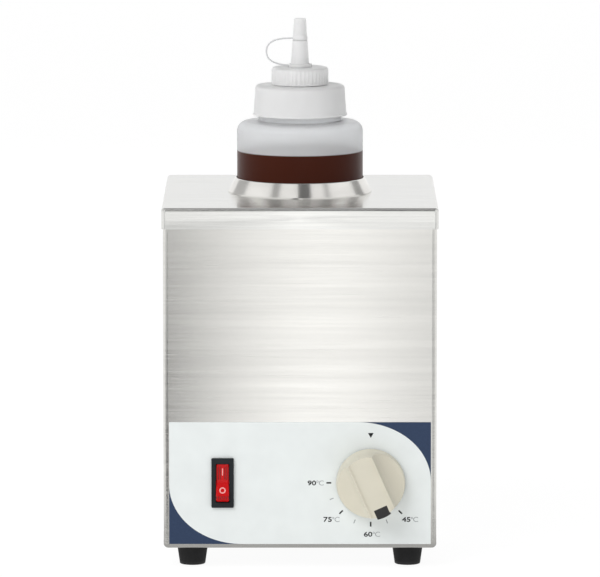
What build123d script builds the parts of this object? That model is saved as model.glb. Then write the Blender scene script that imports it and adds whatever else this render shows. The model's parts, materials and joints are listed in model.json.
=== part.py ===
"""A counter-top warmer for one squeeze bottle of sauce.

A folded stainless casing stands on four rubber feet. Its lid carries a round dry well with a
conical collar, and a squeeze bottle stands in the well. Below the well the front carries a
control label, an illuminated rocker switch and the knob of a capillary thermostat.

Frame: millimetres, +Z up, the front faces -Y. The origin is on the surface that the feet stand
on, straight below the axis of the well.
"""
from build123d import *
import os
from math import cos, pi, radians, sin

os.makedirs("parts", exist_ok=True)

# ---------------------------------------------------------------- driving dimensions
# Casing
CASING_W = 180.0  # outside width of the folded casing
CASING_D = 200.0  # outside depth
CASING_H = 223.6  # from the underside of the casing to its open top edge
SHEET = 0.8  # stainless sheet of casing, lid, rear panel and well
BEND_R = 3.2  # outside radius of the upright bends
SILL_R = 3.0  # outside radius of the bends along the bottom
FLANGE_BACK = 14.0  # flange left round the window in the back
FLANGE_BOTTOM = 33.0  # flange left round the window in the bottom
CLEAR = 0.3  # clearance between sheets that slide together

# Feet
FOOT_H = 13.4
FOOT_R_TOP = 10.3
FOOT_R_BOTTOM = 8.4
FOOT_INSET_X = 18.8  # from the casing's side to the foot's axis
FOOT_INSET_Y = 21.2  # from the casing's front or back to the foot's axis
FOOT_EDGE = 0.8
FOOT_RECESS_R = 5.2
FOOT_RECESS_H = 7.4
FOOT_SCREW_R = 2.0

# Lid
LID_LIP = 14.0  # depth of the lid's lip
LID_R = 2.4  # outside radius of the lid's edges
LID_FIT = 0.15  # gap between lip and casing
LID_HEAD_H = 0.5  # of the thin heads of the lid's screws

# Well, collar and heater
WELL_FIT = 0.7  # gap between the bottle and the bore of collar, lid and well
WELL_FLOOR_Z = 122.0  # inside floor of the well
WELL_CORNER = 6.0  # inside radius between wall and floor
WELL_FLANGE_W = 12.3
COLLAR_H = 9.7
COLLAR_BASE_W = 5.5  # width of the collar's foot
COLLAR_TOP_W = 0.8  # width of its upper edge
GASKET_T = 1.0
STUD_R = 1.5
STUD_LENGTH = 6.2
STUD_COUNT = 3
HEATER_T = 1.6
HEATER_H = 62.0
HEATER_UP = 12.0  # from the well's underside to the heater's lower edge
HEATER_GAP_DEG = 36.0  # open sector of the heater mat
JACKET_T = 12.0
JACKET_DROP = 6.0  # from the well's flange down to the jacket
JACKET_BAND_T = 0.5
JACKET_BAND_H = 8.0

# Base plate and rear panel
BASE_T = 1.0
BASE_INSET = 3.0
REAR_LAP = 8.0  # how far the rear panel laps the casing's back flange
REAR_SCREW_R = 1.6
GLAND_X = -52.0
GLAND_Z = 40.0
GLAND_BORE_R = 3.6
GLAND_THREAD_R = 6.0
GLAND_OUT = 22.0

# Controls on the front
LABEL_EDGE = 0.6  # from the bend to the label's side edge
LABEL_H = 81.2
LABEL_T = 0.3
CONTROL_Z = 57.2  # height of switch and knob centre
SWITCH_X = -51.0
KNOB_X = 46.6

# Switch
BEZEL_EDGE_X = 1.9
BEZEL_EDGE_Z = 1.5
BEZEL_T = 2.0
BEZEL_EDGE_R = 0.4
BEZEL_CORNER_R = 0.8
BEZEL_DRAFT = 3.0  # degrees
SWITCH_W = 11.0
SWITCH_H = 30.0
SWITCH_DEEP = 21.0
SWITCH_WALL = 0.95
SWITCH_END_WALL = 2.15
SWITCH_POCKET = 9.0
ROCKER_GAP = 0.25
ROCKER_ANGLE = 11.0  # slope of each half of the rocker, and its tilt at either stop
ROCKER_PIVOT_BACK = 3.0  # pivot behind the bezel's face
ROCKER_PIVOT_R = 1.5
ROCKER_PIVOT_FIT = 0.05
ROCKER_VALLEY = 2.0  # from the pivot out to the valley of the rocker's face
ROCKER_EDGE_R = 0.9
ROCKER_BACK = 1.2  # from the pivot back to the rocker's inner face
TAB_T = 0.8
TAB_W = 4.8
TAB_L = 8.0
SWITCH_TAB_X = 3.2
SWITCH_TAB_Z = 7.5

# Thermostat
THERMO_W = 38.0
THERMO_H = 34.0
THERMO_DEEP = 22.0
THERMO_PLATE_T = 1.2
THERMO_SCREW_X = 14.0
THERMO_SCREW_L = 6.0
THERMO_CORNER_R = 2.0
THERMO_TAB_X = 9.0
THERMO_TAB_Z = 6.0
SHAFT_R = 3.0
SHAFT_FLAT = 1.4  # depth of the flat on the shaft
SHAFT_IN_BODY = 8.0
SHAFT_IN_KNOB = 12.0
SHAFT_FIT = 0.05
BUSH_R = 4.8
BUSH_OUT = 0.7  # how far the bush stands out of the label
CAPILLARY_R = 0.8
BULB_R = 3.0
BULB_H = 70.0

# Knob, whose pointer stands KNOB_DEG clockwise from straight up at rest
KNOB_R = 22.8
KNOB_FACE_R = 20.3
KNOB_H = 20.8
KNOB_OFF_PANEL = 1.2
KNOB_BAR_W = 17.6
KNOB_SCOOP_R = 15.0
KNOB_WALL = 2.0
KNOB_HOLLOW = 4.6
KNOB_HUB_R = 6.5
KNOB_EDGE = 0.5  # rounding of the bar's upper edges
KNOB_RIM = 1.3  # width of the rims along the bar
KNOB_DISH = 0.8  # depth of the bar's face below the rims
KNOB_DEG = 156.0
POINTER_W = 9.2
POINTER_L = 5.5  # along the bar's face, from its end
POINTER_SIDE = 9.0  # down the bar's end, from the rims
POINTER_OUT = 1.2  # how far the pointer stands out of the bar's end
POINTER_T = 1.2

# Bottle
BOTTLE_R = 42.0
BOTTLE_WALL = 1.2
BOTTLE_BODY_H = 158.5  # from the bottle's underside to the start of the shoulder
BOTTLE_HEEL_R = 7.0
SHOULDER_R = 6.2
SHOULDER_RISE = 0.3
NECK_R = 27.6
NECK_H = 21.2
NECK_WALL = 2.0
SAUCE_Z = 267.2  # level of the sauce
SAUCE_GAP = 0.05
CAP_WALL = 1.4
CAP_DRAFT = 1.2  # how much wider the cap is at its lower end
CAP_LIP_W = 0.6
CAP_LIP_H = 1.2
CAP_EDGE = 1.4
CAP_H = 20.2
CAP_TOP_T = 1.8
THREAD_GAP = 0.8  # room for the threads between a neck and its cap
SEAL_T = 1.0
SEAL_OVER = 1.6  # how far the cap's seal reaches inside the neck
SPIGOT_R = 15.6
SPIGOT_WALL = 2.2
SPIGOT_H = 9.1
NOZZLE_WALL = 2.6
NOZZLE_EDGE = 2.0
NOZZLE_H = 11.5
SPOUT_R_BASE = 6.2
SPOUT_R_STEP = 5.0  # just under the tip's rim
SPOUT_R_SEAT = 3.7  # just inside the tip's rim
SPOUT_R_TIP = 2.4
SPOUT_BORE_BASE = 5.0
SPOUT_BORE_TIP = 1.4
SPOUT_H = 30.7
TIP_H = 14.4
TIP_R_TOP = 4.05
TIP_R_RIM = 5.0
TIP_GAP = 0.3
TIP_TOP_T = 1.6
TIP_EDGE = 0.5
RING_FIT = 0.3
RING_W = 1.5
RING_H = 2.2
LUG_OUT = 0.6  # how far a strap's lug stands out of its ring or rim
STRAP_T = 1.1
STRAP_W = 2.4
STRAP_OUT = 23.0  # reach of the strap's loop from the spout's axis

# Fasteners
M3_HEAD_R = 2.8
M3_HEAD_H = 1.8
M3_R = 1.5
M3_LENGTH = 8.0  # of the casing's screws, below their heads
HEAD_DRAFT = 12.0  # degrees, of the casing's screw heads
CROSS_L = 3.2
CROSS_W = 0.7
CROSS_H = 1.1
M4_HEAD_R = 3.8
M4_HEAD_H = 2.4
M4_R = 2.0
M3_NUT_AF = 5.5
M4_NUT_AF = 7.0
NUT_H = 2.6
WIRE_R = 1.1
HOLE_FIT = 0.1  # radial room round a screw

# ---------------------------------------------------------------- values that follow
WELL_R = BOTTLE_R + WELL_FIT
WELL_FLANGE_R = WELL_R + WELL_FLANGE_W
COLLAR_R_BASE = WELL_R + COLLAR_BASE_W
COLLAR_R_TOP = WELL_R + COLLAR_TOP_W
STUD_CIRCLE_R = WELL_R + SHEET + M3_NUT_AF / 2 + 0.05
SWITCH_OPENING_W = SWITCH_W - 2 * SWITCH_WALL
SWITCH_OPENING_H = SWITCH_H - 2 * SWITCH_END_WALL
BEZEL_W = SWITCH_W + 2 * BEZEL_EDGE_X
BEZEL_H = SWITCH_H + 2 * BEZEL_EDGE_Z
NECK_BORE_R = NECK_R - NECK_WALL
CAP_BORE_R = NECK_R + THREAD_GAP
CAP_R_TOP = CAP_BORE_R + CAP_WALL
CAP_R_BOTTOM = CAP_R_TOP + CAP_DRAFT
CAP_LIP_R = CAP_R_BOTTOM + CAP_LIP_W
SPIGOT_BORE_R = SPIGOT_R - SPIGOT_WALL
NOZZLE_BORE_R = SPIGOT_R + THREAD_GAP
NOZZLE_R = NOZZLE_BORE_R + NOZZLE_WALL
RING_BORE_R = SPOUT_R_BASE + RING_FIT
RING_R = RING_BORE_R + RING_W
CASING_TOP = FOOT_H + CASING_H
LID_TOP = CASING_TOP + LID_R  # the casing ends below the lid's rounded edge
LID_UNDER_Z = LID_TOP - SHEET
FRONT_Y = -CASING_D / 2
BACK_Y = CASING_D / 2
LID_W = CASING_W + 2 * (LID_FIT + SHEET)
LID_D = CASING_D + 2 * (LID_FIT + SHEET)
FOOT_X = CASING_W / 2 - FOOT_INSET_X
FOOT_Y = CASING_D / 2 - FOOT_INSET_Y
FOOT_SPOTS = [(-FOOT_X, -FOOT_Y), (FOOT_X, -FOOT_Y), (-FOOT_X, FOOT_Y), (FOOT_X, FOOT_Y)]
FOOT_NAMES = ["foot_front_left", "foot_front_right", "foot_rear_left", "foot_rear_right"]
BASE_Z = FOOT_H + SHEET
BASE_TOP = BASE_Z + BASE_T
WELL_FLANGE_Z = LID_UNDER_Z - GASKET_T - SHEET
WELL_OUT_R = WELL_R + SHEET
WELL_UNDER_Z = WELL_FLOOR_Z - SHEET
HEATER_Z = WELL_UNDER_Z + HEATER_UP
HEATER_OUT_R = WELL_OUT_R + HEATER_T
JACKET_OUT_R = HEATER_OUT_R + JACKET_T
JACKET_TOP = WELL_FLANGE_Z - JACKET_DROP
LABEL_W = CASING_W - 2 * (BEND_R + LABEL_EDGE)
LABEL_Z = FOOT_H + SILL_R
PANEL_FACE_Y = FRONT_Y - LABEL_T
INNER_FRONT_Y = FRONT_Y + SHEET
BOTTLE_Z = WELL_FLOOR_Z
SHOULDER_Z = BOTTLE_Z + BOTTLE_BODY_H
NECK_Z = SHOULDER_Z + SHOULDER_R + SHOULDER_RISE
NECK_TOP = NECK_Z + NECK_H
CAP_TOP = NECK_TOP + SEAL_T + CAP_TOP_T
CAP_Z = CAP_TOP - CAP_H
SPIGOT_TOP = CAP_TOP + SPIGOT_H
NOZZLE_TOP = SPIGOT_TOP + SEAL_T + CAP_TOP_T
NOZZLE_Z = NOZZLE_TOP - NOZZLE_H
SPOUT_TOP = NOZZLE_TOP + SPOUT_H
TIP_TOP = SPOUT_TOP + TIP_GAP + TIP_TOP_T
TIP_Z = TIP_TOP - TIP_H


def save(shape, name):
    """Labels a finished piece and writes it to its own file."""
    shape.label = name
    export_step(shape, f"parts/{name}.step")


def upright(x, y, z):
    """A plane on which +Z points up, at a point."""
    return Plane(origin=(x, y, z), x_dir=(1, 0, 0), z_dir=(0, 0, 1))


def facing_front(x, y, z):
    """A plane whose normal points out of the front, with +X to the right and up as its y axis."""
    return Plane(origin=(x, y, z), x_dir=(1, 0, 0), z_dir=(0, -1, 0))


def facing_back(x, y, z):
    """A plane whose normal points out of the back."""
    return Plane(origin=(x, y, z), x_dir=(-1, 0, 0), z_dir=(0, 1, 0))


# ---------------------------------------------------------------- casing
with BuildPart() as casing_space:
    with BuildSketch(Plane.XY.offset(FOOT_H + SHEET)):
        RectangleRounded(CASING_W - 2 * SHEET, CASING_D - 2 * SHEET, BEND_R - SHEET)
    extrude(amount=CASING_H)
    fillet(casing_space.faces().sort_by(Axis.Z)[0].edges(), SILL_R - SHEET)

REAR_WINDOW_W = CASING_W - 2 * FLANGE_BACK
REAR_WINDOW_Z = FOOT_H + FLANGE_BACK
REAR_WINDOW_TOP = LID_TOP - LID_LIP - 2 * REAR_LAP - CLEAR
REAR_W = REAR_WINDOW_W + 2 * REAR_LAP
REAR_Z = REAR_WINDOW_Z - REAR_LAP
REAR_H = REAR_WINDOW_TOP + REAR_LAP - REAR_Z
REAR_SCREW_X = (REAR_W - REAR_LAP) / 2
REAR_SCREW_Z = (REAR_H - REAR_LAP) / 2
REAR_MID_Z = REAR_Z + REAR_H / 2
LID_SCREW_Y = CASING_D * 0.3
LID_SCREW_Z = LID_TOP - LID_LIP / 2

with BuildPart() as casing:
    with BuildSketch(Plane.XY.offset(FOOT_H)):
        RectangleRounded(CASING_W, CASING_D, BEND_R)
    extrude(amount=CASING_H)
    fillet(casing.faces().sort_by(Axis.Z)[0].edges(), SILL_R)
    add(casing_space.part, mode=Mode.SUBTRACT)
    with BuildSketch(Plane.XY.offset(FOOT_H)):
        Rectangle(CASING_W - 2 * FLANGE_BOTTOM, CASING_D - 2 * FLANGE_BOTTOM)
        with Locations(*FOOT_SPOTS):
            Circle(FOOT_SCREW_R + 2 * HOLE_FIT)
    extrude(amount=SHEET, mode=Mode.SUBTRACT)
    with BuildSketch(facing_back(0, BACK_Y, (REAR_WINDOW_Z + REAR_WINDOW_TOP) / 2)):
        Rectangle(REAR_WINDOW_W, REAR_WINDOW_TOP - REAR_WINDOW_Z)
    extrude(amount=-SHEET, mode=Mode.SUBTRACT)
    with BuildSketch(facing_back(0, BACK_Y, REAR_MID_Z)):
        with GridLocations(2 * REAR_SCREW_X, REAR_SCREW_Z, 2, 3):
            Circle(REAR_SCREW_R)
    extrude(amount=-SHEET, mode=Mode.SUBTRACT)
    with BuildSketch(facing_front(0, FRONT_Y, CONTROL_Z)):
        with Locations((SWITCH_X, 0)):
            Rectangle(SWITCH_W + 2 * HOLE_FIT, SWITCH_H + 2 * HOLE_FIT)
        with Locations((KNOB_X, 0)):
            Circle(BUSH_R + CLEAR)
        with Locations((KNOB_X - THERMO_SCREW_X, 0), (KNOB_X + THERMO_SCREW_X, 0)):
            Circle(M3_R + HOLE_FIT)
    extrude(amount=-SHEET, mode=Mode.SUBTRACT)
    with BuildSketch(Plane.YZ.offset(-CASING_W / 2)):
        with Locations((-LID_SCREW_Y, LID_SCREW_Z), (LID_SCREW_Y, LID_SCREW_Z)):
            Circle(M3_R)
    extrude(amount=CASING_W, mode=Mode.SUBTRACT)
save(casing.part, "casing")

# ---------------------------------------------------------------- lid
with BuildPart() as lid_space:
    with BuildSketch(Plane.XY.offset(LID_TOP - SHEET)):
        RectangleRounded(LID_W - 2 * SHEET, LID_D - 2 * SHEET, LID_R - SHEET)
    extrude(amount=-LID_LIP - SHEET)
    fillet(lid_space.faces().sort_by(Axis.Z)[-1].edges(), LID_R - SHEET - 0.1)

with BuildPart() as lid:
    with BuildSketch(Plane.XY.offset(LID_TOP)):
        RectangleRounded(LID_W, LID_D, LID_R)
    extrude(amount=-LID_LIP)
    fillet(lid.faces().sort_by(Axis.Z)[-1].edges(), LID_R - 0.1)
    add(lid_space.part, mode=Mode.SUBTRACT)
    with BuildSketch(Plane.XY.offset(LID_TOP)):
        Circle(WELL_R)
        with PolarLocations(STUD_CIRCLE_R, STUD_COUNT, start_angle=90):
            Circle(STUD_R + 2 * HOLE_FIT)
    extrude(amount=-SHEET, mode=Mode.SUBTRACT)
    with BuildSketch(Plane.YZ.offset(-LID_W / 2)):
        with Locations((-LID_SCREW_Y, LID_SCREW_Z), (LID_SCREW_Y, LID_SCREW_Z)):
            Circle(M3_R + 2 * HOLE_FIT)
    extrude(amount=LID_W, mode=Mode.SUBTRACT)
save(lid.part, "lid")

# Lid screws, driven in through the lip from both sides
with BuildPart() as lid_screws:
    for side in (-1, 1):
        for y in (-LID_SCREW_Y, LID_SCREW_Y):
            head = Plane(origin=(side * LID_W / 2, y, LID_SCREW_Z), z_dir=(side, 0, 0))
            with BuildSketch(head):
                Circle(M3_HEAD_R)
            extrude(amount=LID_HEAD_H, taper=HEAD_DRAFT)
            with BuildSketch(head):
                Circle(M3_R - HOLE_FIT)
            extrude(amount=-M3_LENGTH)
            with BuildSketch(head.offset(LID_HEAD_H)):
                Rectangle(CROSS_L, CROSS_W)
                Rectangle(CROSS_W, CROSS_L)
            extrude(amount=-LID_HEAD_H / 2, mode=Mode.SUBTRACT)
save(lid_screws.part, "lid_screws")

# ---------------------------------------------------------------- collar and well
with BuildPart() as collar_ring:
    with BuildSketch(Plane.XZ):
        with BuildLine():
            Polyline(
                (WELL_R, LID_TOP),
                (COLLAR_R_BASE, LID_TOP),
                (COLLAR_R_BASE, LID_TOP + 0.6),
                (COLLAR_R_TOP, LID_TOP + COLLAR_H - 0.3),
                (COLLAR_R_TOP - 0.3, LID_TOP + COLLAR_H),
                (WELL_R, LID_TOP + COLLAR_H),
                close=True,
            )
        make_face()
    revolve(axis=Axis.Z)
save(collar_ring.part, "collar_ring")

with BuildPart() as collar_studs:
    with BuildSketch(Plane.XY.offset(LID_TOP)):
        with PolarLocations(STUD_CIRCLE_R, STUD_COUNT, start_angle=90):
            Circle(STUD_R)
    extrude(amount=-STUD_LENGTH)
save(collar_studs.part, "collar_studs")

with BuildPart() as well_gasket:
    with BuildSketch(Plane.XY.offset(WELL_FLANGE_Z + SHEET)):
        Circle(WELL_FLANGE_R)
        Circle(WELL_R, mode=Mode.SUBTRACT)
        with PolarLocations(STUD_CIRCLE_R, STUD_COUNT, start_angle=90):
            Circle(STUD_R + HOLE_FIT, mode=Mode.SUBTRACT)
    extrude(amount=GASKET_T)
save(well_gasket.part, "well_gasket")

with BuildPart() as well_cup:
    with BuildSketch(Plane.XZ):
        with BuildLine():
            l1 = Line((0, WELL_UNDER_Z), (WELL_R - WELL_CORNER, WELL_UNDER_Z))
            RadiusArc(l1 @ 1, (WELL_OUT_R, WELL_FLOOR_Z + WELL_CORNER), -(WELL_CORNER + SHEET))
            Polyline(
                (WELL_OUT_R, WELL_FLOOR_Z + WELL_CORNER),
                (WELL_OUT_R, WELL_FLANGE_Z),
                (WELL_FLANGE_R, WELL_FLANGE_Z),
                (WELL_FLANGE_R, WELL_FLANGE_Z + SHEET),
                (WELL_R, WELL_FLANGE_Z + SHEET),
                (WELL_R, WELL_FLOOR_Z + WELL_CORNER),
            )
            RadiusArc(
                (WELL_R, WELL_FLOOR_Z + WELL_CORNER), (WELL_R - WELL_CORNER, WELL_FLOOR_Z), WELL_CORNER
            )
            Polyline((WELL_R - WELL_CORNER, WELL_FLOOR_Z), (0, WELL_FLOOR_Z), (0, WELL_UNDER_Z))
        make_face()
    revolve(axis=Axis.Z)
    with BuildSketch(Plane.XY.offset(WELL_FLANGE_Z)):
        with PolarLocations(STUD_CIRCLE_R, STUD_COUNT, start_angle=90):
            Circle(STUD_R + HOLE_FIT)
    extrude(amount=SHEET, mode=Mode.SUBTRACT)
save(well_cup.part, "well_cup")

# Nuts that hold the well's flange and the collar's studs under the lid
with BuildPart() as collar_nuts:
    with BuildSketch(Plane.XY.offset(WELL_FLANGE_Z)):
        with PolarLocations(STUD_CIRCLE_R, STUD_COUNT, start_angle=90):
            RegularPolygon(M3_NUT_AF / 2, 6, major_radius=False, rotation=30)
            Circle(STUD_R, mode=Mode.SUBTRACT)
    extrude(amount=-NUT_H)
save(collar_nuts.part, "collar_nuts")

# ---------------------------------------------------------------- heater, sensor and insulation
BULB_Y = -(WELL_OUT_R + BULB_R + 0.05)
BULB_Z = HEATER_Z - 2.0
CLIP_T = 0.6
CLIP_H = 8.0

with BuildPart() as heater_mat:
    with BuildSketch(Plane.XY.offset(HEATER_Z)):
        Circle(HEATER_OUT_R)
        Circle(WELL_OUT_R, mode=Mode.SUBTRACT)
        half_gap = radians(HEATER_GAP_DEG / 2)
        reach = 2 * HEATER_OUT_R
        with BuildLine():
            Polyline(
                (0, 0),
                (reach * sin(half_gap), -reach * cos(half_gap)),
                (-reach * sin(half_gap), -reach * cos(half_gap)),
                close=True,
            )
        make_face(mode=Mode.SUBTRACT)
    extrude(amount=HEATER_H)
save(heater_mat.part, "heater_mat")

with BuildPart() as sensor_bulb:
    with BuildSketch(upright(0, BULB_Y, BULB_Z)):
        Circle(BULB_R)
    extrude(amount=BULB_H)
    fillet(sensor_bulb.edges(), BULB_R / 3)
save(sensor_bulb.part, "sensor_bulb")

with BuildPart() as bulb_clips:
    for up in (0.2, 0.7):
        with BuildSketch(upright(0, BULB_Y, BULB_Z + up * BULB_H)):
            Circle(BULB_R + CLIP_T)
            Circle(BULB_R, mode=Mode.SUBTRACT)
            with Locations((0, -BULB_Y)):
                Circle(WELL_OUT_R, mode=Mode.SUBTRACT)
        extrude(amount=CLIP_H)
save(bulb_clips.part, "bulb_clips")

with BuildPart() as insulation_jacket:
    with BuildSketch(Plane.XY.offset(HEATER_Z)):
        Circle(JACKET_OUT_R)
        Circle(HEATER_OUT_R, mode=Mode.SUBTRACT)
        with Locations((0, BULB_Y)):
            Circle(BULB_R + CLIP_T + CLEAR, mode=Mode.SUBTRACT)
    extrude(amount=JACKET_TOP - HEATER_Z)
save(insulation_jacket.part, "insulation_jacket")

with BuildPart() as jacket_bands:
    for up in (0.15, 0.75):
        with BuildSketch(Plane.XY.offset(HEATER_Z + up * (JACKET_TOP - HEATER_Z))):
            Circle(JACKET_OUT_R + JACKET_BAND_T)
            Circle(JACKET_OUT_R, mode=Mode.SUBTRACT)
        extrude(amount=JACKET_BAND_H)
save(jacket_bands.part, "jacket_bands")

# Thermal cut-out, held flat against the underside of the well
CUTOUT_R = 8.2
CUTOUT_CAP_H = 3.0
CUTOUT_BODY_R = 7.2
CUTOUT_H = 11.0
CUTOUT_TAB_X = 5.0
CUTOUT_TAB_H = 7.0
CUTOUT_WING_W = 30.0
CUTOUT_WING_D = 9.0
with BuildPart() as thermal_cutout:
    with BuildSketch(Plane.XY.offset(WELL_UNDER_Z)):
        Circle(CUTOUT_R)
        Rectangle(CUTOUT_WING_W, CUTOUT_WING_D)
    extrude(amount=-SHEET)
    with BuildSketch(Plane.XY.offset(WELL_UNDER_Z - SHEET)):
        Circle(CUTOUT_R)
    extrude(amount=-CUTOUT_CAP_H)
    with BuildSketch(Plane.XY.offset(WELL_UNDER_Z - CUTOUT_CAP_H)):
        Circle(CUTOUT_BODY_R)
    extrude(amount=CUTOUT_CAP_H - CUTOUT_H)
    with BuildSketch(Plane.XY.offset(WELL_UNDER_Z - CUTOUT_H)):
        with Locations((-CUTOUT_TAB_X, 0), (CUTOUT_TAB_X, 0)):
            Rectangle(TAB_T, TAB_W)
    extrude(amount=-CUTOUT_TAB_H)
save(thermal_cutout.part, "thermal_cutout")

# ---------------------------------------------------------------- base plate, earth stud and feet
EARTH_SPOT = (30.0, 56.0)
EARTH_H = 16.0
VENT_W = 3.2
VENT_L = 34.0
VENT_PITCH = 9.0
BASE_VENTS = 7

with BuildPart() as base_plate:
    with BuildSketch(Plane.XY.offset(BASE_Z)):
        RectangleRounded(CASING_W - 2 * (SHEET + BASE_INSET), CASING_D - 2 * (SHEET + BASE_INSET), BEND_R)
        with Locations(*FOOT_SPOTS):
            Circle(M4_R + HOLE_FIT, mode=Mode.SUBTRACT)
        with Locations(EARTH_SPOT):
            Circle(M4_R, mode=Mode.SUBTRACT)
        with GridLocations(VENT_PITCH, 0, BASE_VENTS, 1):
            SlotOverall(VENT_L, VENT_W, rotation=90, mode=Mode.SUBTRACT)
    extrude(amount=BASE_T)
save(base_plate.part, "base_plate")

with BuildPart() as earth_stud:
    with BuildSketch(upright(*EARTH_SPOT, BASE_Z)):
        Circle(M4_R)
    extrude(amount=EARTH_H)
save(earth_stud.part, "earth_stud")

RING_TAG_T = 0.8
with BuildPart() as earth_nuts:
    for z in (BASE_TOP, BASE_TOP + NUT_H + RING_TAG_T):
        with BuildSketch(upright(*EARTH_SPOT, z)):
            RegularPolygon(M4_NUT_AF / 2, 6, major_radius=False)
            Circle(M4_R, mode=Mode.SUBTRACT)
        extrude(amount=NUT_H)
save(earth_nuts.part, "earth_nuts")

with BuildPart() as earth_tag:
    with BuildSketch(upright(*EARTH_SPOT, BASE_TOP + NUT_H)):
        Circle(M4_NUT_AF / 2 + 1.0)
        with Locations((0, -M4_NUT_AF)):
            Rectangle(2.6 * WIRE_R, M4_NUT_AF)
        Circle(M4_R, mode=Mode.SUBTRACT)
    extrude(amount=RING_TAG_T)
save(earth_tag.part, "earth_tag")

for name, (foot_x, foot_y) in zip(FOOT_NAMES, FOOT_SPOTS):
    with BuildPart() as foot:
        with BuildSketch(Plane.XZ):
            with BuildLine():
                Polyline(
                    (M4_R + HOLE_FIT, FOOT_RECESS_H),
                    (FOOT_RECESS_R, FOOT_RECESS_H),
                    (FOOT_RECESS_R, 0),
                    (FOOT_R_BOTTOM, 0),
                    (FOOT_R_TOP, FOOT_H),
                    (M4_R + HOLE_FIT, FOOT_H),
                    close=True,
                )
            make_face()
        revolve(axis=Axis.Z)
        foot_rims = foot.edges().filter_by(GeomType.CIRCLE).group_by(Axis.Z)[0]
        fillet(foot_rims.sort_by(SortBy.RADIUS)[-1], FOOT_EDGE)
    save(foot.part.moved(Location((foot_x, foot_y, 0))), name)

with BuildPart() as foot_screws:
    with BuildSketch(Plane.XY.offset(FOOT_RECESS_H)):
        with Locations(*FOOT_SPOTS):
            Circle(M4_HEAD_R)
    extrude(amount=-M4_HEAD_H)
    with BuildSketch(Plane.XY.offset(FOOT_RECESS_H)):
        with Locations(*FOOT_SPOTS):
            Circle(M4_R)
    extrude(amount=BASE_TOP + 2 * NUT_H - FOOT_RECESS_H)
save(foot_screws.part, "foot_screws")

with BuildPart() as foot_nuts:
    with BuildSketch(Plane.XY.offset(BASE_TOP)):
        with Locations(*FOOT_SPOTS):
            RegularPolygon(M4_NUT_AF / 2, 6, major_radius=False)
            Circle(M4_R, mode=Mode.SUBTRACT)
    extrude(amount=NUT_H)
save(foot_nuts.part, "foot_nuts")

# ---------------------------------------------------------------- rear panel and cable gland
REAR_VENTS = 9
REAR_VENT_Z = REAR_MID_Z + REAR_H / 4

with BuildPart() as rear_panel:
    with BuildSketch(facing_back(0, BACK_Y, REAR_MID_Z)):
        RectangleRounded(REAR_W, REAR_H, BEND_R)
        with GridLocations(2 * REAR_SCREW_X, REAR_SCREW_Z, 2, 3):
            Circle(M3_R + HOLE_FIT, mode=Mode.SUBTRACT)
        with Locations((-GLAND_X, GLAND_Z - REAR_MID_Z)):
            Circle(GLAND_THREAD_R + HOLE_FIT, mode=Mode.SUBTRACT)
        with Locations((0, REAR_VENT_Z - REAR_MID_Z)):
            with GridLocations(VENT_PITCH, 0, REAR_VENTS, 1):
                SlotOverall(VENT_L, VENT_W, rotation=90, mode=Mode.SUBTRACT)
    extrude(amount=SHEET)
save(rear_panel.part, "rear_panel")

with BuildPart() as rear_screws:
    with BuildSketch(facing_back(0, BACK_Y + SHEET, REAR_MID_Z)):
        with GridLocations(2 * REAR_SCREW_X, REAR_SCREW_Z, 2, 3):
            Circle(M3_HEAD_R)
    extrude(amount=M3_HEAD_H, taper=HEAD_DRAFT)
    with BuildSketch(facing_back(0, BACK_Y + SHEET, REAR_MID_Z)):
        with GridLocations(2 * REAR_SCREW_X, REAR_SCREW_Z, 2, 3):
            Circle(M3_R)
    extrude(amount=-M3_LENGTH)
    with BuildSketch(facing_back(0, BACK_Y + SHEET + M3_HEAD_H, REAR_MID_Z)):
        with GridLocations(2 * REAR_SCREW_X, REAR_SCREW_Z, 2, 3):
            Rectangle(CROSS_L, CROSS_W)
            Rectangle(CROSS_W, CROSS_L)
    extrude(amount=-CROSS_H, mode=Mode.SUBTRACT)
save(rear_screws.part, "rear_screws")

# The gland is turned about Y; along its axis, distances count outwards from the rear panel
GLAND_HEX_AF = 16.0
GLAND_HEX_H = 5.0
GLAND_CAP_R = 8.0
GLAND_TUBE_BORE_R = 4.6
GLAND_CAP_BORE_R = 4.2
GLAND_CAP_EDGE = 3.0
GLAND_TUBE_OUT = 15.0
GLAND_IN = 9.0
GLAND_SEAL_L = 9.0
GLAND_FACE_Y = BACK_Y + SHEET

with BuildPart() as gland_body:
    with BuildSketch(facing_back(GLAND_X, GLAND_FACE_Y, GLAND_Z)):
        RegularPolygon(GLAND_HEX_AF / 2, 6, major_radius=False)
    extrude(amount=GLAND_HEX_H)
    with BuildSketch(facing_back(GLAND_X, GLAND_FACE_Y - GLAND_IN, GLAND_Z)):
        Circle(GLAND_THREAD_R)
    extrude(amount=GLAND_IN + GLAND_TUBE_OUT)
    with BuildSketch(facing_back(GLAND_X, GLAND_FACE_Y - GLAND_IN, GLAND_Z)):
        Circle(GLAND_TUBE_BORE_R)
    extrude(amount=GLAND_IN + GLAND_TUBE_OUT, mode=Mode.SUBTRACT)
save(gland_body.part, "gland_body")

with BuildPart() as gland_cap:
    with BuildSketch(facing_back(GLAND_X, GLAND_FACE_Y + GLAND_HEX_H, GLAND_Z)):
        Circle(GLAND_CAP_R)
    extrude(amount=GLAND_OUT - GLAND_HEX_H)
    fillet(gland_cap.faces().sort_by(Axis.Y)[-1].edges(), GLAND_CAP_EDGE)
    with BuildSketch(facing_back(GLAND_X, GLAND_FACE_Y + GLAND_HEX_H, GLAND_Z)):
        Circle(GLAND_THREAD_R)
    extrude(amount=GLAND_TUBE_OUT - GLAND_HEX_H, mode=Mode.SUBTRACT)
    with BuildSketch(facing_back(GLAND_X, GLAND_FACE_Y, GLAND_Z)):
        Circle(GLAND_CAP_BORE_R)
    extrude(amount=GLAND_OUT, mode=Mode.SUBTRACT)
save(gland_cap.part, "gland_cap")

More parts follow.
